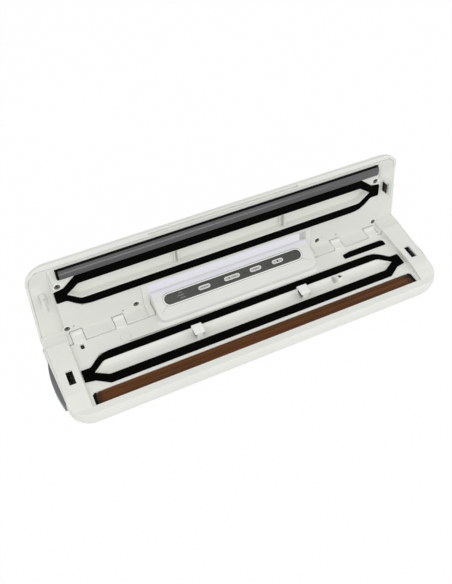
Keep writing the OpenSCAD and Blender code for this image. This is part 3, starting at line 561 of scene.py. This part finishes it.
# mouldings: each is a node's own mesh, softened and here and there reshaped
deckPlan = {
    "troughZ": -8.2, "nearly": 0.05, "troughHalf": 152, "troughFront": -47.5, "troughBack": -36.5,
    "shownZ": -4.7, "wallFoot": -38.6, "wallLean": 2.6, "edge": 0.3,
}
platePlan = {"frontEdge": -76.4, "lipTop": 7, "seam": 0.35, "seamX": -176.0, "sideways": -0.96, "edge": 0.3}
buttonPlan = {"topDrop": 3.4, "topFrom": -0.5, "innerX": 172.0, "edge": 0.6}
# the other softened nodes and how widely their edges are rounded
edgeWidths = {
    "bottom_case": 0.4, "lid_cover": 0.3, "window_frame": 0.6, "panel_housing": 0.6, "bag_clips": 0.4,
    "rubber_feet": 0.5, "deck_rubber_strip": 0.3, "power_inlet": 0.3, "left_lid_hook": 0.3,
    "right_lid_hook": 0.3, "lid_switch": 0.3,
}


# the trough's floor is raised and its back wall leans
def deckShape(point):
    onFloor = abs(point.z - deckPlan["troughZ"]) < deckPlan["nearly"]
    between = deckPlan["troughFront"] < point.y < deckPlan["troughBack"]
    if onFloor and between and abs(point.x) < deckPlan["troughHalf"]:
        point.z = deckPlan["shownZ"]
        if point.y > deckPlan["wallFoot"]:
            point.y -= deckPlan["wallLean"]
    return point


# a wider seam between the plate's front lip and the cover
def plateShape(point):
    if point.y < platePlan["frontEdge"] and point.z < platePlan["lipTop"]:
        point.y += platePlan["seam"]
    return point


# the outer top edge is lower
def buttonShape(point):
    if point.z > buttonPlan["topFrom"] and abs(point.x) > buttonPlan["innerX"]:
        point.z -= buttonPlan["topDrop"]
    return point


# faces chosen by a test take the dark material: painted shade
def paintShade(piece, chosen):
    piece.data.materials.append(materials["dark"])
    for face in piece.data.polygons:
        if chosen(face):
            face.material_index = 1


# the plate's faces turned to -x at its left end: painted shadow in the seam with the cover
def inSeam(face):
    return face.normal.x < platePlan["sideways"] and face.center.x < platePlan["seamX"] / 1000


# the release buttons' faces inside the case: painted shade seen down the latch slots
def insideCase(face):
    return abs(face.center.x) < buttonPlan["innerX"] / 1000


softened("base_deck", deckPlan["edge"], reshape=deckShape, space=baseSpace)
paintShade(softened("lid_plate", platePlan["edge"], reshape=plateShape, space=lidSpace), inSeam)
for nodeName, width in edgeWidths.items():
    softened(nodeName, width)
for side in ("left", "right"):
    button = softened(side + "_release_button", buttonPlan["edge"], reshape=buttonShape, space=baseSpace)
    paintShade(button, insideCase)

for side, sign in (("left", -1), ("right", 1)):
    nodeName = side + "_latch_spring"
    spring = bpy.data.objects.new(camelCase(nodeName), nodes[nodeName].data.copy())
    scene.collection.objects.link(spring)
    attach(spring, "base")
    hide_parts(nodeName)
    low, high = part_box(nodeName)
    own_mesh(spring)
print("mouldings softened")


# gaskets with bent, pointed ends, one in the base and one in the lid
gasketPlan = {
    "bendX": 138.5, "endX": 158.7, "neckX": 150, "tipX": 149, "tipY": -45.0, "endHalf": 6,
    "neckDrop": 1.5, "innerBack": 0.8, "innerFront": 1.3,
    "near": 28.4, "far": 60.0, "lidFar": 61.8, "lidLow": 0.3,
    "backWidth": 7.5, "frontWidth": 8.1, "thick": 3.0, "edge": 0.55,
    "outerRadii": [24, 4, 1.0, 1.0, 2.5, 3], "innerRadii": [12, 0.8, 4],
}


def gasket(node, far, low, space):
    ring = gasketPlan
    endBack, endFront = ring["tipY"] + ring["endHalf"], ring["tipY"] - ring["endHalf"]
    outer = filleted(*mirroredOutline([
        (ring["bendX"], -ring["near"]), (ring["neckX"], endBack), (ring["endX"], endBack),
        (ring["endX"], endFront), (ring["neckX"], endFront - ring["neckDrop"]), (ring["bendX"], -far),
    ], ring["outerRadii"]))
    inner = filleted(*mirroredOutline([
        (ring["bendX"] - ring["innerBack"], -ring["near"] - ring["backWidth"]),
        (ring["tipX"], ring["tipY"]),
        (ring["bendX"] - ring["innerFront"], -far + ring["frontWidth"]),
    ], ring["innerRadii"]))
    solid = slab([outer, inner], low, low + ring["thick"], ring["edge"])
    placed(camelCase(node), solid, space, ["rubber"], bodyOf[node], [node])


gasket("lower_gasket", gasketPlan["far"], -gasketPlan["thick"], baseSpace)
gasket("lid_gasket", gasketPlan["lidFar"], gasketPlan["lidLow"], lidSpace)
print("gaskets made")


# heating strip: tape with a low ridge over the heated wire
tapePlan = {
    "half": 154.6, "front": -76.1, "back": -63.3, "top": -2.2, "thick": 0.3,
    "ridge": 0.14, "ridgeHalf": 2.1, "cut": 2.4, "sink": 0.06, "edgeDrop": 0.12,
    "stations": 90, "across": 16,
    "waves": ((0.035, 0.31, 0), (0.02, 0.83, 1)), "waveEase": 5,  # height, rate and start of each wave
}
tapeEndShadePlan = {
    "inner": 153.6, "outer": 156.97, "front": -76.27, "back": -63.13, "cut": 1.97, "corner": 0.1,
    "low": -7.1, "top": -2.45, "edge": 0.05,
}


def tapeRow(x):
    tape = tapePlan
    end = max(0.0, abs(x) - (tape["half"] - tape["cut"]))
    front, back = tape["front"], tape["back"] - end
    wave = sum(height * math.sin(x * rate + start) for height, rate, start in tape["waves"])
    upper = []
    for k in range(tape["across"] + 1):
        y = front + (back - front) * k / tape["across"]
        away = abs(y - (tape["front"] + tape["back"]) / 2)
        lift = tape["ridge"] * max(0.0, 1 - (away / tape["ridgeHalf"]) ** 4)
        edge = tape["edgeDrop"] if k in (0, tape["across"]) else 0
        rise = lift + wave * min(1, away / tape["waveEase"])
        upper.append((x, y, tape["top"] + rise - tape["sink"] - edge))
    lower = [(x, y, tape["top"] - tape["thick"]) for _, y, _ in (upper[-1], upper[0])]
    return upper + lower


half, count = tapePlan["half"], tapePlan["stations"]
stations = [-half + 2 * half * k / count for k in range(count + 1)]
placed("heaterTape", skin([tapeRow(x) for x in stations]), baseSpace, ["tape"], "base", ["heater_tape"])

# black blocks at the tape's folded ends: painted shade in the slot's gaps there
endShade = tapeEndShadePlan
rightEndShade = filleted([
    (endShade["inner"], endShade["front"]), (endShade["outer"], endShade["front"]), (endShade["outer"], endShade["back"] - endShade["cut"]),
    (endShade["outer"] - endShade["cut"], endShade["back"]), (endShade["inner"], endShade["back"]),
], [0, endShade["corner"], endShade["corner"], endShade["corner"], 0])
leftEndShade = [(-x, y) for x, y in reversed(rightEndShade)]
endShades = blocks([rightEndShade, leftEndShade], endShade["low"], endShade["top"], endShade["edge"])
placed("tapeEndPads", endShades, baseSpace, ["black"], "base")
print("heating strip made")


# sealing bar in the lid, with a low crest along its face
barPlan = {
    "left": -150.6, "right": 155.2, "front": -73.2, "back": -64.5, "face": -1.72, "foot": -0.7,
    "crest": 0.36, "highlightHalf": 0.75, "highlightDeep": 0.3, "bead": 0.2, "beadHalf": 0.85, "steps": 30,
    "swell": 0.3, "swellPower": 5, "slope": 0.22, "endLift": 0.5, "endBulge": 0.9, "leftBulge": 0.2,
    # at the ends: way along from the end, and how fully the section has grown
    "leftEnd": ((0.0, 0.0), (0.25, 0.7), (0.7, 1.0)), "rightEnd": ((-1.7, 1.0), (-1.2, 0.7), (-0.95, 0.0)),
    "between": range(-140, 150, 10),
}
# left, right, front and back of what the bar sits in, then the low and high faces
barSeatPlan = {
    "stem": (-150.4, 153.6, -72.6, -65.2), "stemFaces": (-0.8, 4.9), "stemEdge": 0.2,
    "backing": (-152.7, 154.2, -73.9, -64.2), "backingFaces": (-0.72, 4.4), "backingEdge": 0.15,
    "infill": (-155.6, -152.8, -73.9, -63.9), "infillFaces": (1.5, 4.9), "infillEdge": 0.1,
}


def barRow(x, grow):
    bar = barPlan
    width = bar["back"] - bar["front"]
    row = []
    for k in range(bar["steps"] + 1):
        t = k / bar["steps"]
        y = bar["front"] + width * t
        swell = bar["swell"] * (abs(2 * t - 1) ** bar["swellPower"])
        away = min(1, abs(t - bar["crest"]) * width / bar["beadHalf"])
        bead = bar["bead"] * (0.5 + 0.5 * math.cos(math.pi * away))
        slope = bar["slope"] * max(0.0, bar["crest"] - t) / bar["crest"]
        lift = (swell + slope - bead) * grow + (1 - grow) * bar["endLift"]
        bulge = bar["endBulge"] * (1 - (2 * t - 1) ** 2) * (1 if x > 0 else bar["leftBulge"])
        row.append((x + math.copysign(bulge, x), y, bar["face"] + lift))
    foot = [(row[-1][0], bar["back"], bar["foot"]), (row[0][0], bar["front"], bar["foot"])]
    return row + foot


barStations = [(barPlan["left"] + way, grow) for way, grow in barPlan["leftEnd"]]
barStations += [(x, 1.0) for x in barPlan["between"]]
barStations += [(barPlan["right"] + way, grow) for way, grow in barPlan["rightEnd"]]
bar = skin([barRow(x, grow) for x, grow in barStations])
crestY = barPlan["front"] + barPlan["crest"] * (barPlan["back"] - barPlan["front"])
# faces along the crest take the painted highlight
for face in bar.faces:
    middle = face.calc_center_median()
    inHighlight = abs(middle.y - crestY) < barPlan["highlightHalf"]
    if inHighlight and middle.z < barPlan["face"] + barPlan["highlightDeep"]:
        face.material_index = 1
seat = barSeatPlan
stem, backing, infill = (
    slab([oblong(*seat[part])], *seat[part + "Faces"], seat[part + "Edge"])
    for part in ("stem", "backing", "infill")
)
whole = gathered([bar, stem])
placed("sealingBar", whole, lidSpace, ["seal", "crest"], bodyOf["sealing_bar"], ["sealing_bar"])
# a black slab round the stem, seen as a dark band along the bar's edges
placed("barBacking", backing, lidSpace, ["black"], "lid")
placed("barSlotInfill", infill, lidSpace, ["plate"], "lid")
print("sealing bar made")


# shade in the right hook's socket, brown above and black below
hookPlan = {
    "place": (166.25, -45.0, 0), "levels": ((-1.7, 2.6), (2.6, 6.3)), "front": -5.6, "back": 4.4,
    "half": 0.04, "edge": 0.01,
}
hookFlats = []
for slot, (low, high) in enumerate(hookPlan["levels"]):
    outline = oblong(low, high, hookPlan["front"], hookPlan["back"])
    hookFlats.append(slab([outline], -hookPlan["half"], hookPlan["half"], hookPlan["edge"], slot))
standing = Matrix.Rotation(math.radians(90), 4, "Y") @ Matrix.Rotation(math.radians(180), 4, "Z")
hookSpace = lidSpace @ (Matrix.Translation(hookPlan["place"]) @ standing)
placed("hookSocketShade", gathered(hookFlats), hookSpace, ["socket", "black"], "lid")

# air port: a collar, then a pale step and a dark bore in it, both painted as the shade inside the port, as
# pairs of radius and height
portPlan = {
    "place": (93.4, -40.3, 0),
    "collar": [(2.2, -9.0), (3.1, -8.9), (3.1, -0.2), (2.9, 0.1), (2.3, 0.1), (2.0, -0.2), (1.9, -3.0)],
    "step": [(1.95, -1.6), (1.9, -0.9), (0.9, -0.9), (0.8, -1.5)],
    "bore": [(0.85, -1.6), (0.8, -1.1), (0.3, -1.1), (0.05, -1.15)],
}
portCollar = turned(portPlan["collar"], portPlan["place"])
placed("airPort", portCollar, baseSpace, ["bright"], "base", ["air_port"])
portHoleShade = gathered([
    turned(portPlan["step"], portPlan["place"]), turned(portPlan["bore"], portPlan["place"], slotIndex=1),
])
placed("airPortHole", portHoleShade, baseSpace, ["markPale", "dark"], "base")

# dark blocks in the bag stops' openings: painted shade under their arms
clipShadePlan = {
    "x": (-52.75, 52.75), "half": 4.2, "front": -46.7, "back": -40.1, "low": -0.6, "top": 3.15, "edge": 0.1,
}
half, front, back = (clipShadePlan[name] for name in ("half", "front", "back"))
outlines = [oblong(x - half, x + half, front, back) for x in clipShadePlan["x"]]
openingShades = blocks(outlines, clipShadePlan["low"], clipShadePlan["top"], clipShadePlan["edge"])
placed("clipOpenings", openingShades, baseSpace, ["markDark"], "base")

# liner of the trough: its section is pairs of share across and height, and it narrows to pointed ends
troughPlan = {
    "half": 134, "pointX": 137.2, "back": -36.5, "pointBack": -36.6, "backSlope": 0.805,
    "front": -50.5, "pointFront": -51.2, "frontSlope": 0.585, "floor": -4.1, "under": -4.9,
    "fade": 14, "flattest": 0.15,
    "section": [
        (0, -4.5), (0.01, -4.12), (0.43, -4.1), (0.46, -4.2), (0.49, -4.1), (0.65, -4.0), (0.76, -3.5),
        (0.88, -2.3), (0.96, -1.3), (0.99, -1.16), (1.0, -1.6),
    ],
    "steps": (0, 3, 6, 9, 12, 14.2),
}


def troughRow(x):
    trough = troughPlan
    past = max(0.0, abs(x) - trough["pointX"])
    back = min(trough["back"], trough["pointBack"] - past * trough["backSlope"])
    front = max(trough["front"], trough["pointFront"] + past * trough["frontSlope"])
    ease = max(trough["flattest"], 1 - max(0.0, abs(x) - trough["half"]) / trough["fade"])
    floor, under = trough["floor"], trough["under"]
    row = [(x, front + (back - front) * t, floor + (z - floor) * ease) for t, z in trough["section"]]
    return row + [(x, back, under), (x, front, under)]


troughStations = [troughPlan["half"] + step for step in troughPlan["steps"]]
troughStations = [-x for x in reversed(troughStations)] + troughStations
placed("troughFloor", skin([troughRow(x) for x in troughStations]), baseSpace, ["deck"], "base")

# two ribs in the lid's chamber
ribPlan = {
    "x": (-47.7, 57.9), "width": 1.2, "front": -52.3, "back": -37.7, "low": 3.0, "high": 8.6, "edge": 0.25,
}
outlines = [oblong(x, x + ribPlan["width"], ribPlan["front"], ribPlan["back"]) for x in ribPlan["x"]]
ribs = blocks(outlines, ribPlan["low"], ribPlan["high"], ribPlan["edge"])
placed("lidChamberRibs", ribs, lidSpace, ["plate"], "lid")
print("port made")


# control panel
keyPlan = {
    "mode_key": {"x": -31.0, "length": 11.4}, "vacuum_seal_key": {"x": -3.4, "length": 15.6},
    "seal_key": {"x": 20.7, "length": 11.4}, "stop_key": {"x": 43.6, "length": 11.4},
}
keySize = {
    "width": 3.8, "low": -3.2, "top": 0.62, "edge": 0.1, "gap": 0.25,
    "rim": 0.85, "rimWidth": 0.62, "rimDeep": 0.2, "rimEdge": 0.12,
    "markDeep": 0.02, "markHigh": 0.04, "markEdge": 0.01,
}
# plain marks on the keys
markPlan = {
    "mode_key": [oblong(x - 0.7, x + 0.7, -0.22, 0.22) for x in (-2.2, 0, 2.2)],
    "vacuum_seal_key": [
        [(-3.6, 0.75), (-2.0, 0.75), (-2.8, -0.5)],
        oblong(-4.0, -1.6, -0.95, -0.65),
        oblong(0.4, 4.0, -0.22, 0.22),
    ],
    "seal_key": [oblong(-2.8, 2.8, -0.24, 0.24)],
    "stop_key": [oblong(-0.8, 0.8, -0.8, 0.8)],
}
for node, plan in keyPlan.items():
    size = keySize
    rims = 2 * size["rimWidth"]
    outline = pill(plan["length"], size["width"], plan["x"])
    inside = pill(plan["length"] - rims, size["width"] - rims, plan["x"])
    parts = [
        slab([outline], size["low"], size["top"], size["edge"], 1),
        slab([outline, inside], size["top"] - size["rimDeep"], size["rim"], size["rimEdge"]),
    ]
    for mark in markPlan[node]:
        shifted = [(x + plan["x"], y) for x, y in mark]
        low, high = size["top"] - size["markDeep"], size["top"] + size["markHigh"]
        parts.append(slab([shifted], low, high, size["markEdge"], 2, 0))
    solid = gathered(parts)
    placed(camelCase(node), solid, panelSpace, ["key", "keyFace", "markDark"], bodyOf[node], [node])

overlayPlan = {
    "length": 138, "width": 9.8, "low": -0.6, "top": 0.08, "edge": 0.06, "shift": -0.7,
    "lampX": (-15.6, 9.5, 33.0), "lampHole": 0.6,
    # middle and length of each dash
    "dashes": ((-53.6, 2.6, 3.6), (-54.0, 0.2, 6.4), (-52.8, -2.4, 5.4)),
    "dashHalf": 0.24, "dashHigh": 0.02, "dashEdge": 0.005,
    # inner side, outer side and top of the bright rim, then of the groove round it, a low ring painted grey
    # as the groove's shade
    "rims": ((0.1, 1.1, 0.26), (1.15, 1.52, 0.04)), "rimLow": -0.3, "rimEdge": 0.12,
}
film = overlayPlan
gaps = 2 * keySize["gap"]
holes = [pill(plan["length"] + gaps, keySize["width"] + gaps, plan["x"]) for plan in keyPlan.values()]
holes += [disc(film["lampHole"], x) for x in film["lampX"]]
outline = pill(film["length"], film["width"], film["shift"])
parts = [slab([outline] + holes, film["low"], film["top"], film["edge"])]
for x, y, length in film["dashes"]:
    dash = oblong(x - length / 2, x + length / 2, y - film["dashHalf"], y + film["dashHalf"])
    low, high = film["top"] - film["dashHigh"], film["top"] + film["dashHigh"]
    parts.append(slab([dash], low, high, film["dashEdge"], 1, 0))
placed("panelOverlay", gathered(parts), panelSpace, ["overlay", "markPale"], "base", ["panel_overlay"])
rims = []
for slot, (inner, outer, top) in enumerate(film["rims"]):
    outlines = [
        pill(film["length"] + 2 * grow, film["width"] + 2 * grow, film["shift"]) for grow in (outer, inner)
    ]
    rims.append(slab(outlines, film["rimLow"], top, min(film["rimEdge"], top / 2), slot))
placed("panelBezel", gathered(rims), panelSpace, ["bright", "markPale"], "base")

# cove from the housing's foot to the deck
covePlan = {
    "reach": 4.4, "rise": 2.5, "deckZ": -1.2, "cornerRadius": 6.0, "cornerSteps": 8, "rings": 9,
    "stop": -11.2, "sideSteps": 7, "sideStep": 0.9, "fade": 6,
    "inside": 0.15, "sink": 0.05, "leastRise": 0.1, "skirt": 0.3, "nearly": 0.1,
}


def covePath():
    half, front, radius = panelPlan["half"], panelPlan["front"], covePlan["cornerRadius"]
    steps = range(covePlan["sideSteps"])
    side = [((half, covePlan["stop"] - k * covePlan["sideStep"]), (1.0, 0.0)) for k in steps]
    for k in range(covePlan["cornerSteps"] + 1):
        a = math.radians(90 * k / covePlan["cornerSteps"])
        place = (half - radius + radius * math.cos(a), front + radius - radius * math.sin(a))
        side.append((place, (math.cos(a), -math.sin(a))))
    other = [((-x, y), (-nx, ny)) for (x, y), (nx, ny) in reversed(side)]
    return side + other


# t runs from 0 on the deck to a quarter turn on the housing
def coveRow(t):
    cove = covePlan
    row = []
    for (x, y), (nx, ny) in covePath():
        onSide = abs(x) > panelPlan["half"] - cove["nearly"]
        ease = min(1.0, (cove["stop"] - y) / cove["fade"]) if onSide else 1.0
        grow = cove["reach"] * (1 - math.sin(t)) * ease - cove["inside"]
        rise = cove["rise"] * (1 - math.cos(t)) * max(ease, cove["leastRise"])
        row.append((x + nx * grow, y + ny * grow, cove["deckZ"] - cove["sink"] + rise))
    return row


rings = covePlan["rings"]
coveRows = [coveRow(math.pi / 2 * k / rings) for k in range(rings + 1)]
coveRows.append([(x, y, covePlan["deckZ"] - covePlan["skirt"]) for x, y, _ in coveRows[-1]])
placed("panelCove", skin(coveRows, closed=False, capped=False), baseSpace, ["deck"], "base")
print("panel made")


# geometry nodes that set one piece on every point, each turned at random
def scatterTool(name):
    group = bpy.data.node_groups.new(name, "GeometryNodeTree")
    sockets = {}
    for title, kind in (
        ("Points", "NodeSocketGeometry"), ("Piece", "NodeSocketObject"), ("Turn Spread", "NodeSocketFloat"),
        ("Seed", "NodeSocketInt"), ("Surface", "NodeSocketMaterial"),
    ):
        sockets[title] = group.interface.new_socket(title, in_out="INPUT", socket_type=kind)
    group.interface.new_socket("Geometry", in_out="OUTPUT", socket_type="NodeSocketGeometry")
    make, join = group.nodes.new, group.links.new
    source, target = make("NodeGroupInput"), make("NodeGroupOutput")
    shape, copies = make("GeometryNodeObjectInfo"), make("GeometryNodeInstanceOnPoints")
    random, turn = make("FunctionNodeRandomValue"), make("ShaderNodeCombineXYZ")
    real, surface = make("GeometryNodeRealizeInstances"), make("GeometryNodeSetMaterial")
    join(source.outputs["Piece"], shape.inputs["Object"])
    join(source.outputs["Turn Spread"], random.inputs["Max"])
    join(source.outputs["Seed"], random.inputs["Seed"])
    join(random.outputs["Value"], turn.inputs["Z"])
    join(source.outputs["Points"], copies.inputs["Points"])
    join(shape.outputs["Geometry"], copies.inputs["Instance"])
    join(turn.outputs["Vector"], copies.inputs["Rotation"])
    join(copies.outputs["Instances"], real.inputs["Geometry"])
    join(real.outputs["Geometry"], surface.inputs["Geometry"])
    join(source.outputs["Surface"], surface.inputs["Material"])
    join(surface.outputs["Geometry"], target.inputs["Geometry"])
    return group, {title: socket.identifier for title, socket in sockets.items()}


scatterGroup, scatterSockets = scatterTool("scatterPieces")
scatterPlan = {"turnSpread": 1.5, "seed": 4}  # the turn about each piece's own axis, in radians


# copies of one small solid at the points, as one piece
def scattered(pieceName, solid, points, space, materialName, body, replaced=(), turnSpread=None):
    unit = bpy.data.meshes.new("unit")
    bmesh.ops.recalc_face_normals(solid, faces=solid.faces)
    solid.to_mesh(unit)
    solid.free()
    shadeByAngle(unit, 36)
    single = bpy.data.objects.new("unit", unit)
    spots = bpy.data.meshes.new("spots")
    spots.from_pydata(points, [], [])
    holder = bpy.data.objects.new(pieceName, spots)
    for made in (single, holder):
        scene.collection.objects.link(made)
    modifier = holder.modifiers.new("scatter", "NODES")
    modifier.node_group = scatterGroup
    modifier[scatterSockets["Piece"]] = single
    spread = scatterPlan["turnSpread"] if turnSpread is None else turnSpread
    modifier[scatterSockets["Turn Spread"]] = spread
    modifier[scatterSockets["Seed"]] = scatterPlan["seed"]
    modifier[scatterSockets["Surface"]] = materials[materialName]
    holder.update_tag()
    result = evaluated(holder)
    holder.modifiers.clear()
    bpy.data.objects.remove(single)
    result.transform(space)
    holder.data = result
    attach(holder, body)
    if replaced:
        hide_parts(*replaced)


# shares of a screw's head: its radius for the recess and the floor, its height for the rest
crossPlan = {
    "armReach": 0.62, "armHalf": 0.17, "armDeep": 0.6, "edge": 0.12, "floorRadius": 0.98, "floorFrom": 0.5,
    "shankFrom": 0.9, "floorEdge": 0.04, "shankEdge": 0.1, "shankSides": 20,
}


def crossOutline(reach, half):
    corners = [(reach, -half), (reach, half), (half, half)]
    outline = []
    for _ in range(4):
        outline += corners
        corners = [(-y, x) for x, y in corners]
    return outline


# screw with a cross recess, head outward along -Z
def crossScrew(headRadius, headHeight, shankRadius, shankLength):
    cross = crossPlan
    arms = crossOutline(headRadius * cross["armReach"], headRadius * cross["armHalf"])
    head = slab([disc(headRadius), arms], 0, headHeight * cross["armDeep"], headHeight * cross["edge"])
    low = headHeight * cross["floorFrom"]
    headFloor = slab([disc(headRadius * cross["floorRadius"])], low, headHeight, cross["floorEdge"])
    outline = disc(shankRadius, steps=cross["shankSides"])
    shank = slab([outline], headHeight * cross["shankFrom"], headHeight + shankLength, cross["shankEdge"])
    return gathered([head, headFloor, shank])


# a screw is its head's radius and height, then its shank's radius and length
lidScrewPlan = {
    "spots": [(93, -8), (156.9, -7), (154.3, 4.1 - gasketPlan["far"])], "z": 2.5,
    "screw": (2.6, 1.0, 1.25, 6.0),
    "markReach": 1.9, "markHalf": 0.36, "wellZ": 1.5, "wellRadii": (3.6, 2.75),
}
lidPoints = [(side * x, y, lidScrewPlan["z"]) for x, y in lidScrewPlan["spots"] for side in (-1, 1)]
lidScrew = crossScrew(*lidScrewPlan["screw"])
scattered("lidScrews", lidScrew, lidPoints, lidSpace, "screw", "lid", ["lid_screws"])
# dark crosses set in the screws' recesses: painted shade
reach, half = lidScrewPlan["markReach"], lidScrewPlan["markHalf"]
arms = [
    (-reach, -half), (reach, -half), (reach, half), (half, half),
    (half, reach), (-half, reach), (-half, half), (-reach, half),
]
recessShade = slab([arms], 0.02, 0.3, 0.02)
scattered("lidScrewRecesses", recessShade, lidPoints, lidSpace, "dark", "lid")
# bright rings round the lid screws: a painted highlight on the rims of their wells
wellPoints = [(x, y, lidScrewPlan["wellZ"]) for x, y, _ in lidPoints]
wells = slab([disc(radius) for radius in lidScrewPlan["wellRadii"]], -0.16, 0.2, 0.1)
scattered("lidScrewWells", wells, wellPoints, lidSpace, "bright", "lid", turnSpread=0.0)

caseScrewPlan = {
    "columns": ((-128.0, -22), (0, -25), (128.0, -22)), "front": 1.9 - gasketPlan["far"], "z": -31.4,
    "screw": (2.6, 1.7, 1.25, 11.9),
}
casePoints = [
    (x, y, caseScrewPlan["z"])
    for x, back in caseScrewPlan["columns"] for y in (back, caseScrewPlan["front"])
]
caseScrew = crossScrew(*caseScrewPlan["screw"])
scattered("caseScrews", caseScrew, casePoints, baseSpace, "steel", "base", ["case_screws"])

# small moulding marks, a turned profile or a block at each spot, painted grey or dark as their shade
pipPlan = {
    "spots": [(-151, -8, 1.5), (161.0, -2, 1.5), (-106, -6, 1.5), (114, -7.5, 1.5)],
    "profile": [(0.75, 0.2), (0.75, -0.05), (0.5, -0.2), (0.1, -0.25)],
}
pinHolePlan = {
    "spots": [(-139, -41, -4.7), (99, -48.6, -4.2)],
    "profile": [(0.55, -0.02), (0.5, 0.05), (0.3, 0.06), (0.05, 0.06)],
}
troughRibPlan = {
    "spots": [(87.6, -40.3, -4.4)], "halfX": 1.3, "halfY": 2.9, "corner": 0.5, "high": 2.9, "edge": 0.3,
}
# the pips are painted grey as their small shadows
pip = turned(pipPlan["profile"], steps=16)
scattered("platePips", pip, pipPlan["spots"], lidSpace, "markPale", "lid")
# each pin hole is a dark disc: painted shade in the hole
pinHoleShade = turned(pinHolePlan["profile"], steps=16)
scattered("pinHoles", pinHoleShade, pinHolePlan["spots"], baseSpace, "dark", "base")
# the rib is painted grey as the shade on it
halfX, halfY = troughRibPlan["halfX"], troughRibPlan["halfY"]
outline = filleted(oblong(-halfX, halfX, -halfY, halfY), [troughRibPlan["corner"]] * 4, 3)
rib = slab([outline], 0, troughRibPlan["high"], troughRibPlan["edge"])
scattered("troughRib", rib, troughRibPlan["spots"], baseSpace, "keyFace", "base", turnSpread=0.0)
print("fasteners made")


# 1 for the rays that show the plain background: from the camera, off gloss and through glass
def backgroundRays(tree):
    seen = tree.nodes.new("ShaderNodeLightPath")
    total = seen.outputs["Is Camera Ray"]
    for name in ("Is Glossy Ray", "Is Transmission Ray"):
        either = tree.nodes.new("ShaderNodeMath")
        either.operation = "MAXIMUM"
        tree.links.new(total, either.inputs[0])
        tree.links.new(seen.outputs[name], either.inputs[1])
        total = either.outputs[0]
    return total


# place and axes in metres, lens and sensor in millimetres
cameraPlan = {
    "place": (-0.1774, -0.33102, 0.51550),
    "right": (0.90679, -0.42159, 0.00080),
    "down": (-0.32645, -0.70336, -0.63144),
    "forward": (0.26677, 0.57232, -0.77542),
    "lens": 41.5,
    "sensor": 36,
}
cameraData = bpy.data.cameras.new("camera")
cameraData.lens = cameraPlan["lens"]
cameraData.sensor_width = cameraPlan["sensor"]
camera = bpy.data.objects.new("camera", cameraData)
up, backward = (-Vector(cameraPlan[name]) for name in ("down", "forward"))
turn = Matrix((Vector(cameraPlan["right"]), up, backward)).transposed()
camera.matrix_world = Matrix.Translation(cameraPlan["place"]) @ turn.to_4x4()
scene.collection.objects.link(camera)
scene.camera = camera

# metres; the shade is a pale patch on the floor behind the lid
floorPlan = {"half": 6, "below": 0.0002, "colour": (236, 236, 236), "plainShare": 0.98}
shadePlan = {"centre": (0.02, 0.077), "half": (0.13, 0.034), "shade": (224, 224, 231), "edge": (0.95, 1.25)}
reach = floorPlan["half"]
floorMesh = bpy.data.meshes.new("floor")
floorMesh.from_pydata([(x, y, 0) for x, y in oblong(-reach, reach, -reach, reach)], [], [(0, 1, 2, 3)])
floor = bpy.data.objects.new("floor", floorMesh)
floor.location.z = boxAtLoad[0].z - floorPlan["below"]
scene.collection.objects.link(floor)
paper = Finish("floorPaper", floorPlan["colour"], 0.9, specular=0.1)
glow = paper.node("ShaderNodeEmission")
spot = paper.node("ShaderNodeMapping")
spot.inputs["Location"].default_value = (-shadePlan["centre"][0], -shadePlan["centre"][1], 0)
paper.join(paper.place, spot.inputs["Vector"])
oval = paper.node("ShaderNodeVectorMath", operation="MULTIPLY")
oval.inputs[1].default_value = (1 / shadePlan["half"][0], 1 / shadePlan["half"][1], 0)
paper.join(spot.outputs[0], oval.inputs[0])
away = paper.node("ShaderNodeVectorMath", operation="LENGTH")
paper.join(oval.outputs[0], away.inputs[0])
outOfShade = paper.spread(away.outputs["Value"], 0, 1, *shadePlan["edge"])
paper.join(paper.tint(outOfShade, [shadePlan["shade"], (255, 255, 255)], [0, 1]), glow.inputs["Color"])
mixed = paper.node("ShaderNodeMixShader")
share = paper.node("ShaderNodeMath", operation="MULTIPLY")
paper.join(backgroundRays(paper.tree), share.inputs[0])
share.inputs[1].default_value = floorPlan["plainShare"]
paper.join(share.outputs[0], mixed.inputs["Fac"])
output = next(n for n in paper.tree.nodes if n.type == "OUTPUT_MATERIAL")
paper.join(paper.shader.outputs[0], mixed.inputs[1])
paper.join(glow.outputs[0], mixed.inputs[2])
paper.join(mixed.outputs[0], output.inputs["Surface"])
floorMesh.materials.append(paper.material)

# each lamp is its place, what it points at, its two sides in metres and its watts
lightPlan = {
    "sky": 0.63,
    "lamps": {
        "keyLight": ((-0.5, -0.5, 1.3), (0, 0, 0), (1.2, 1.2), 4.6),
        "fillLight": ((1.0, -0.9, 0.8), (0, 0, 0), (1.2, 1.0), 3.0),
        "frontLight": ((-0.25, -1.5, 0.5), (0, 0.04, 0.09), (1.6, 0.5), 3.4),
    },
}
world = bpy.data.worlds.new("studio")
scene.world = world
world.use_nodes = True
tree = world.node_tree
sky = tree.nodes["Background"]
sky.inputs["Color"].default_value = (1, 1, 1, 1)
sky.inputs["Strength"].default_value = lightPlan["sky"]
bright = tree.nodes.new("ShaderNodeBackground")
skyMix = tree.nodes.new("ShaderNodeMixShader")
tree.links.new(backgroundRays(tree), skyMix.inputs["Fac"])
tree.links.new(sky.outputs[0], skyMix.inputs[1])
tree.links.new(bright.outputs[0], skyMix.inputs[2])
tree.links.new(skyMix.outputs[0], tree.nodes["World Output"].inputs["Surface"])


def softBox(name, place, aim, size, power):
    lamp = bpy.data.lights.new(name, "AREA")
    lamp.shape = "RECTANGLE"
    lamp.size, lamp.size_y = size
    lamp.energy = power
    holder = bpy.data.objects.new(name, lamp)
    holder.location = place
    holder.rotation_euler = (Vector(aim) - Vector(place)).to_track_quat("-Z", "Y").to_euler()
    scene.collection.objects.link(holder)


for name, settings in lightPlan["lamps"].items():
    softBox(name, *settings)
scene.view_settings.view_transform = "Standard"
print("camera and light set")
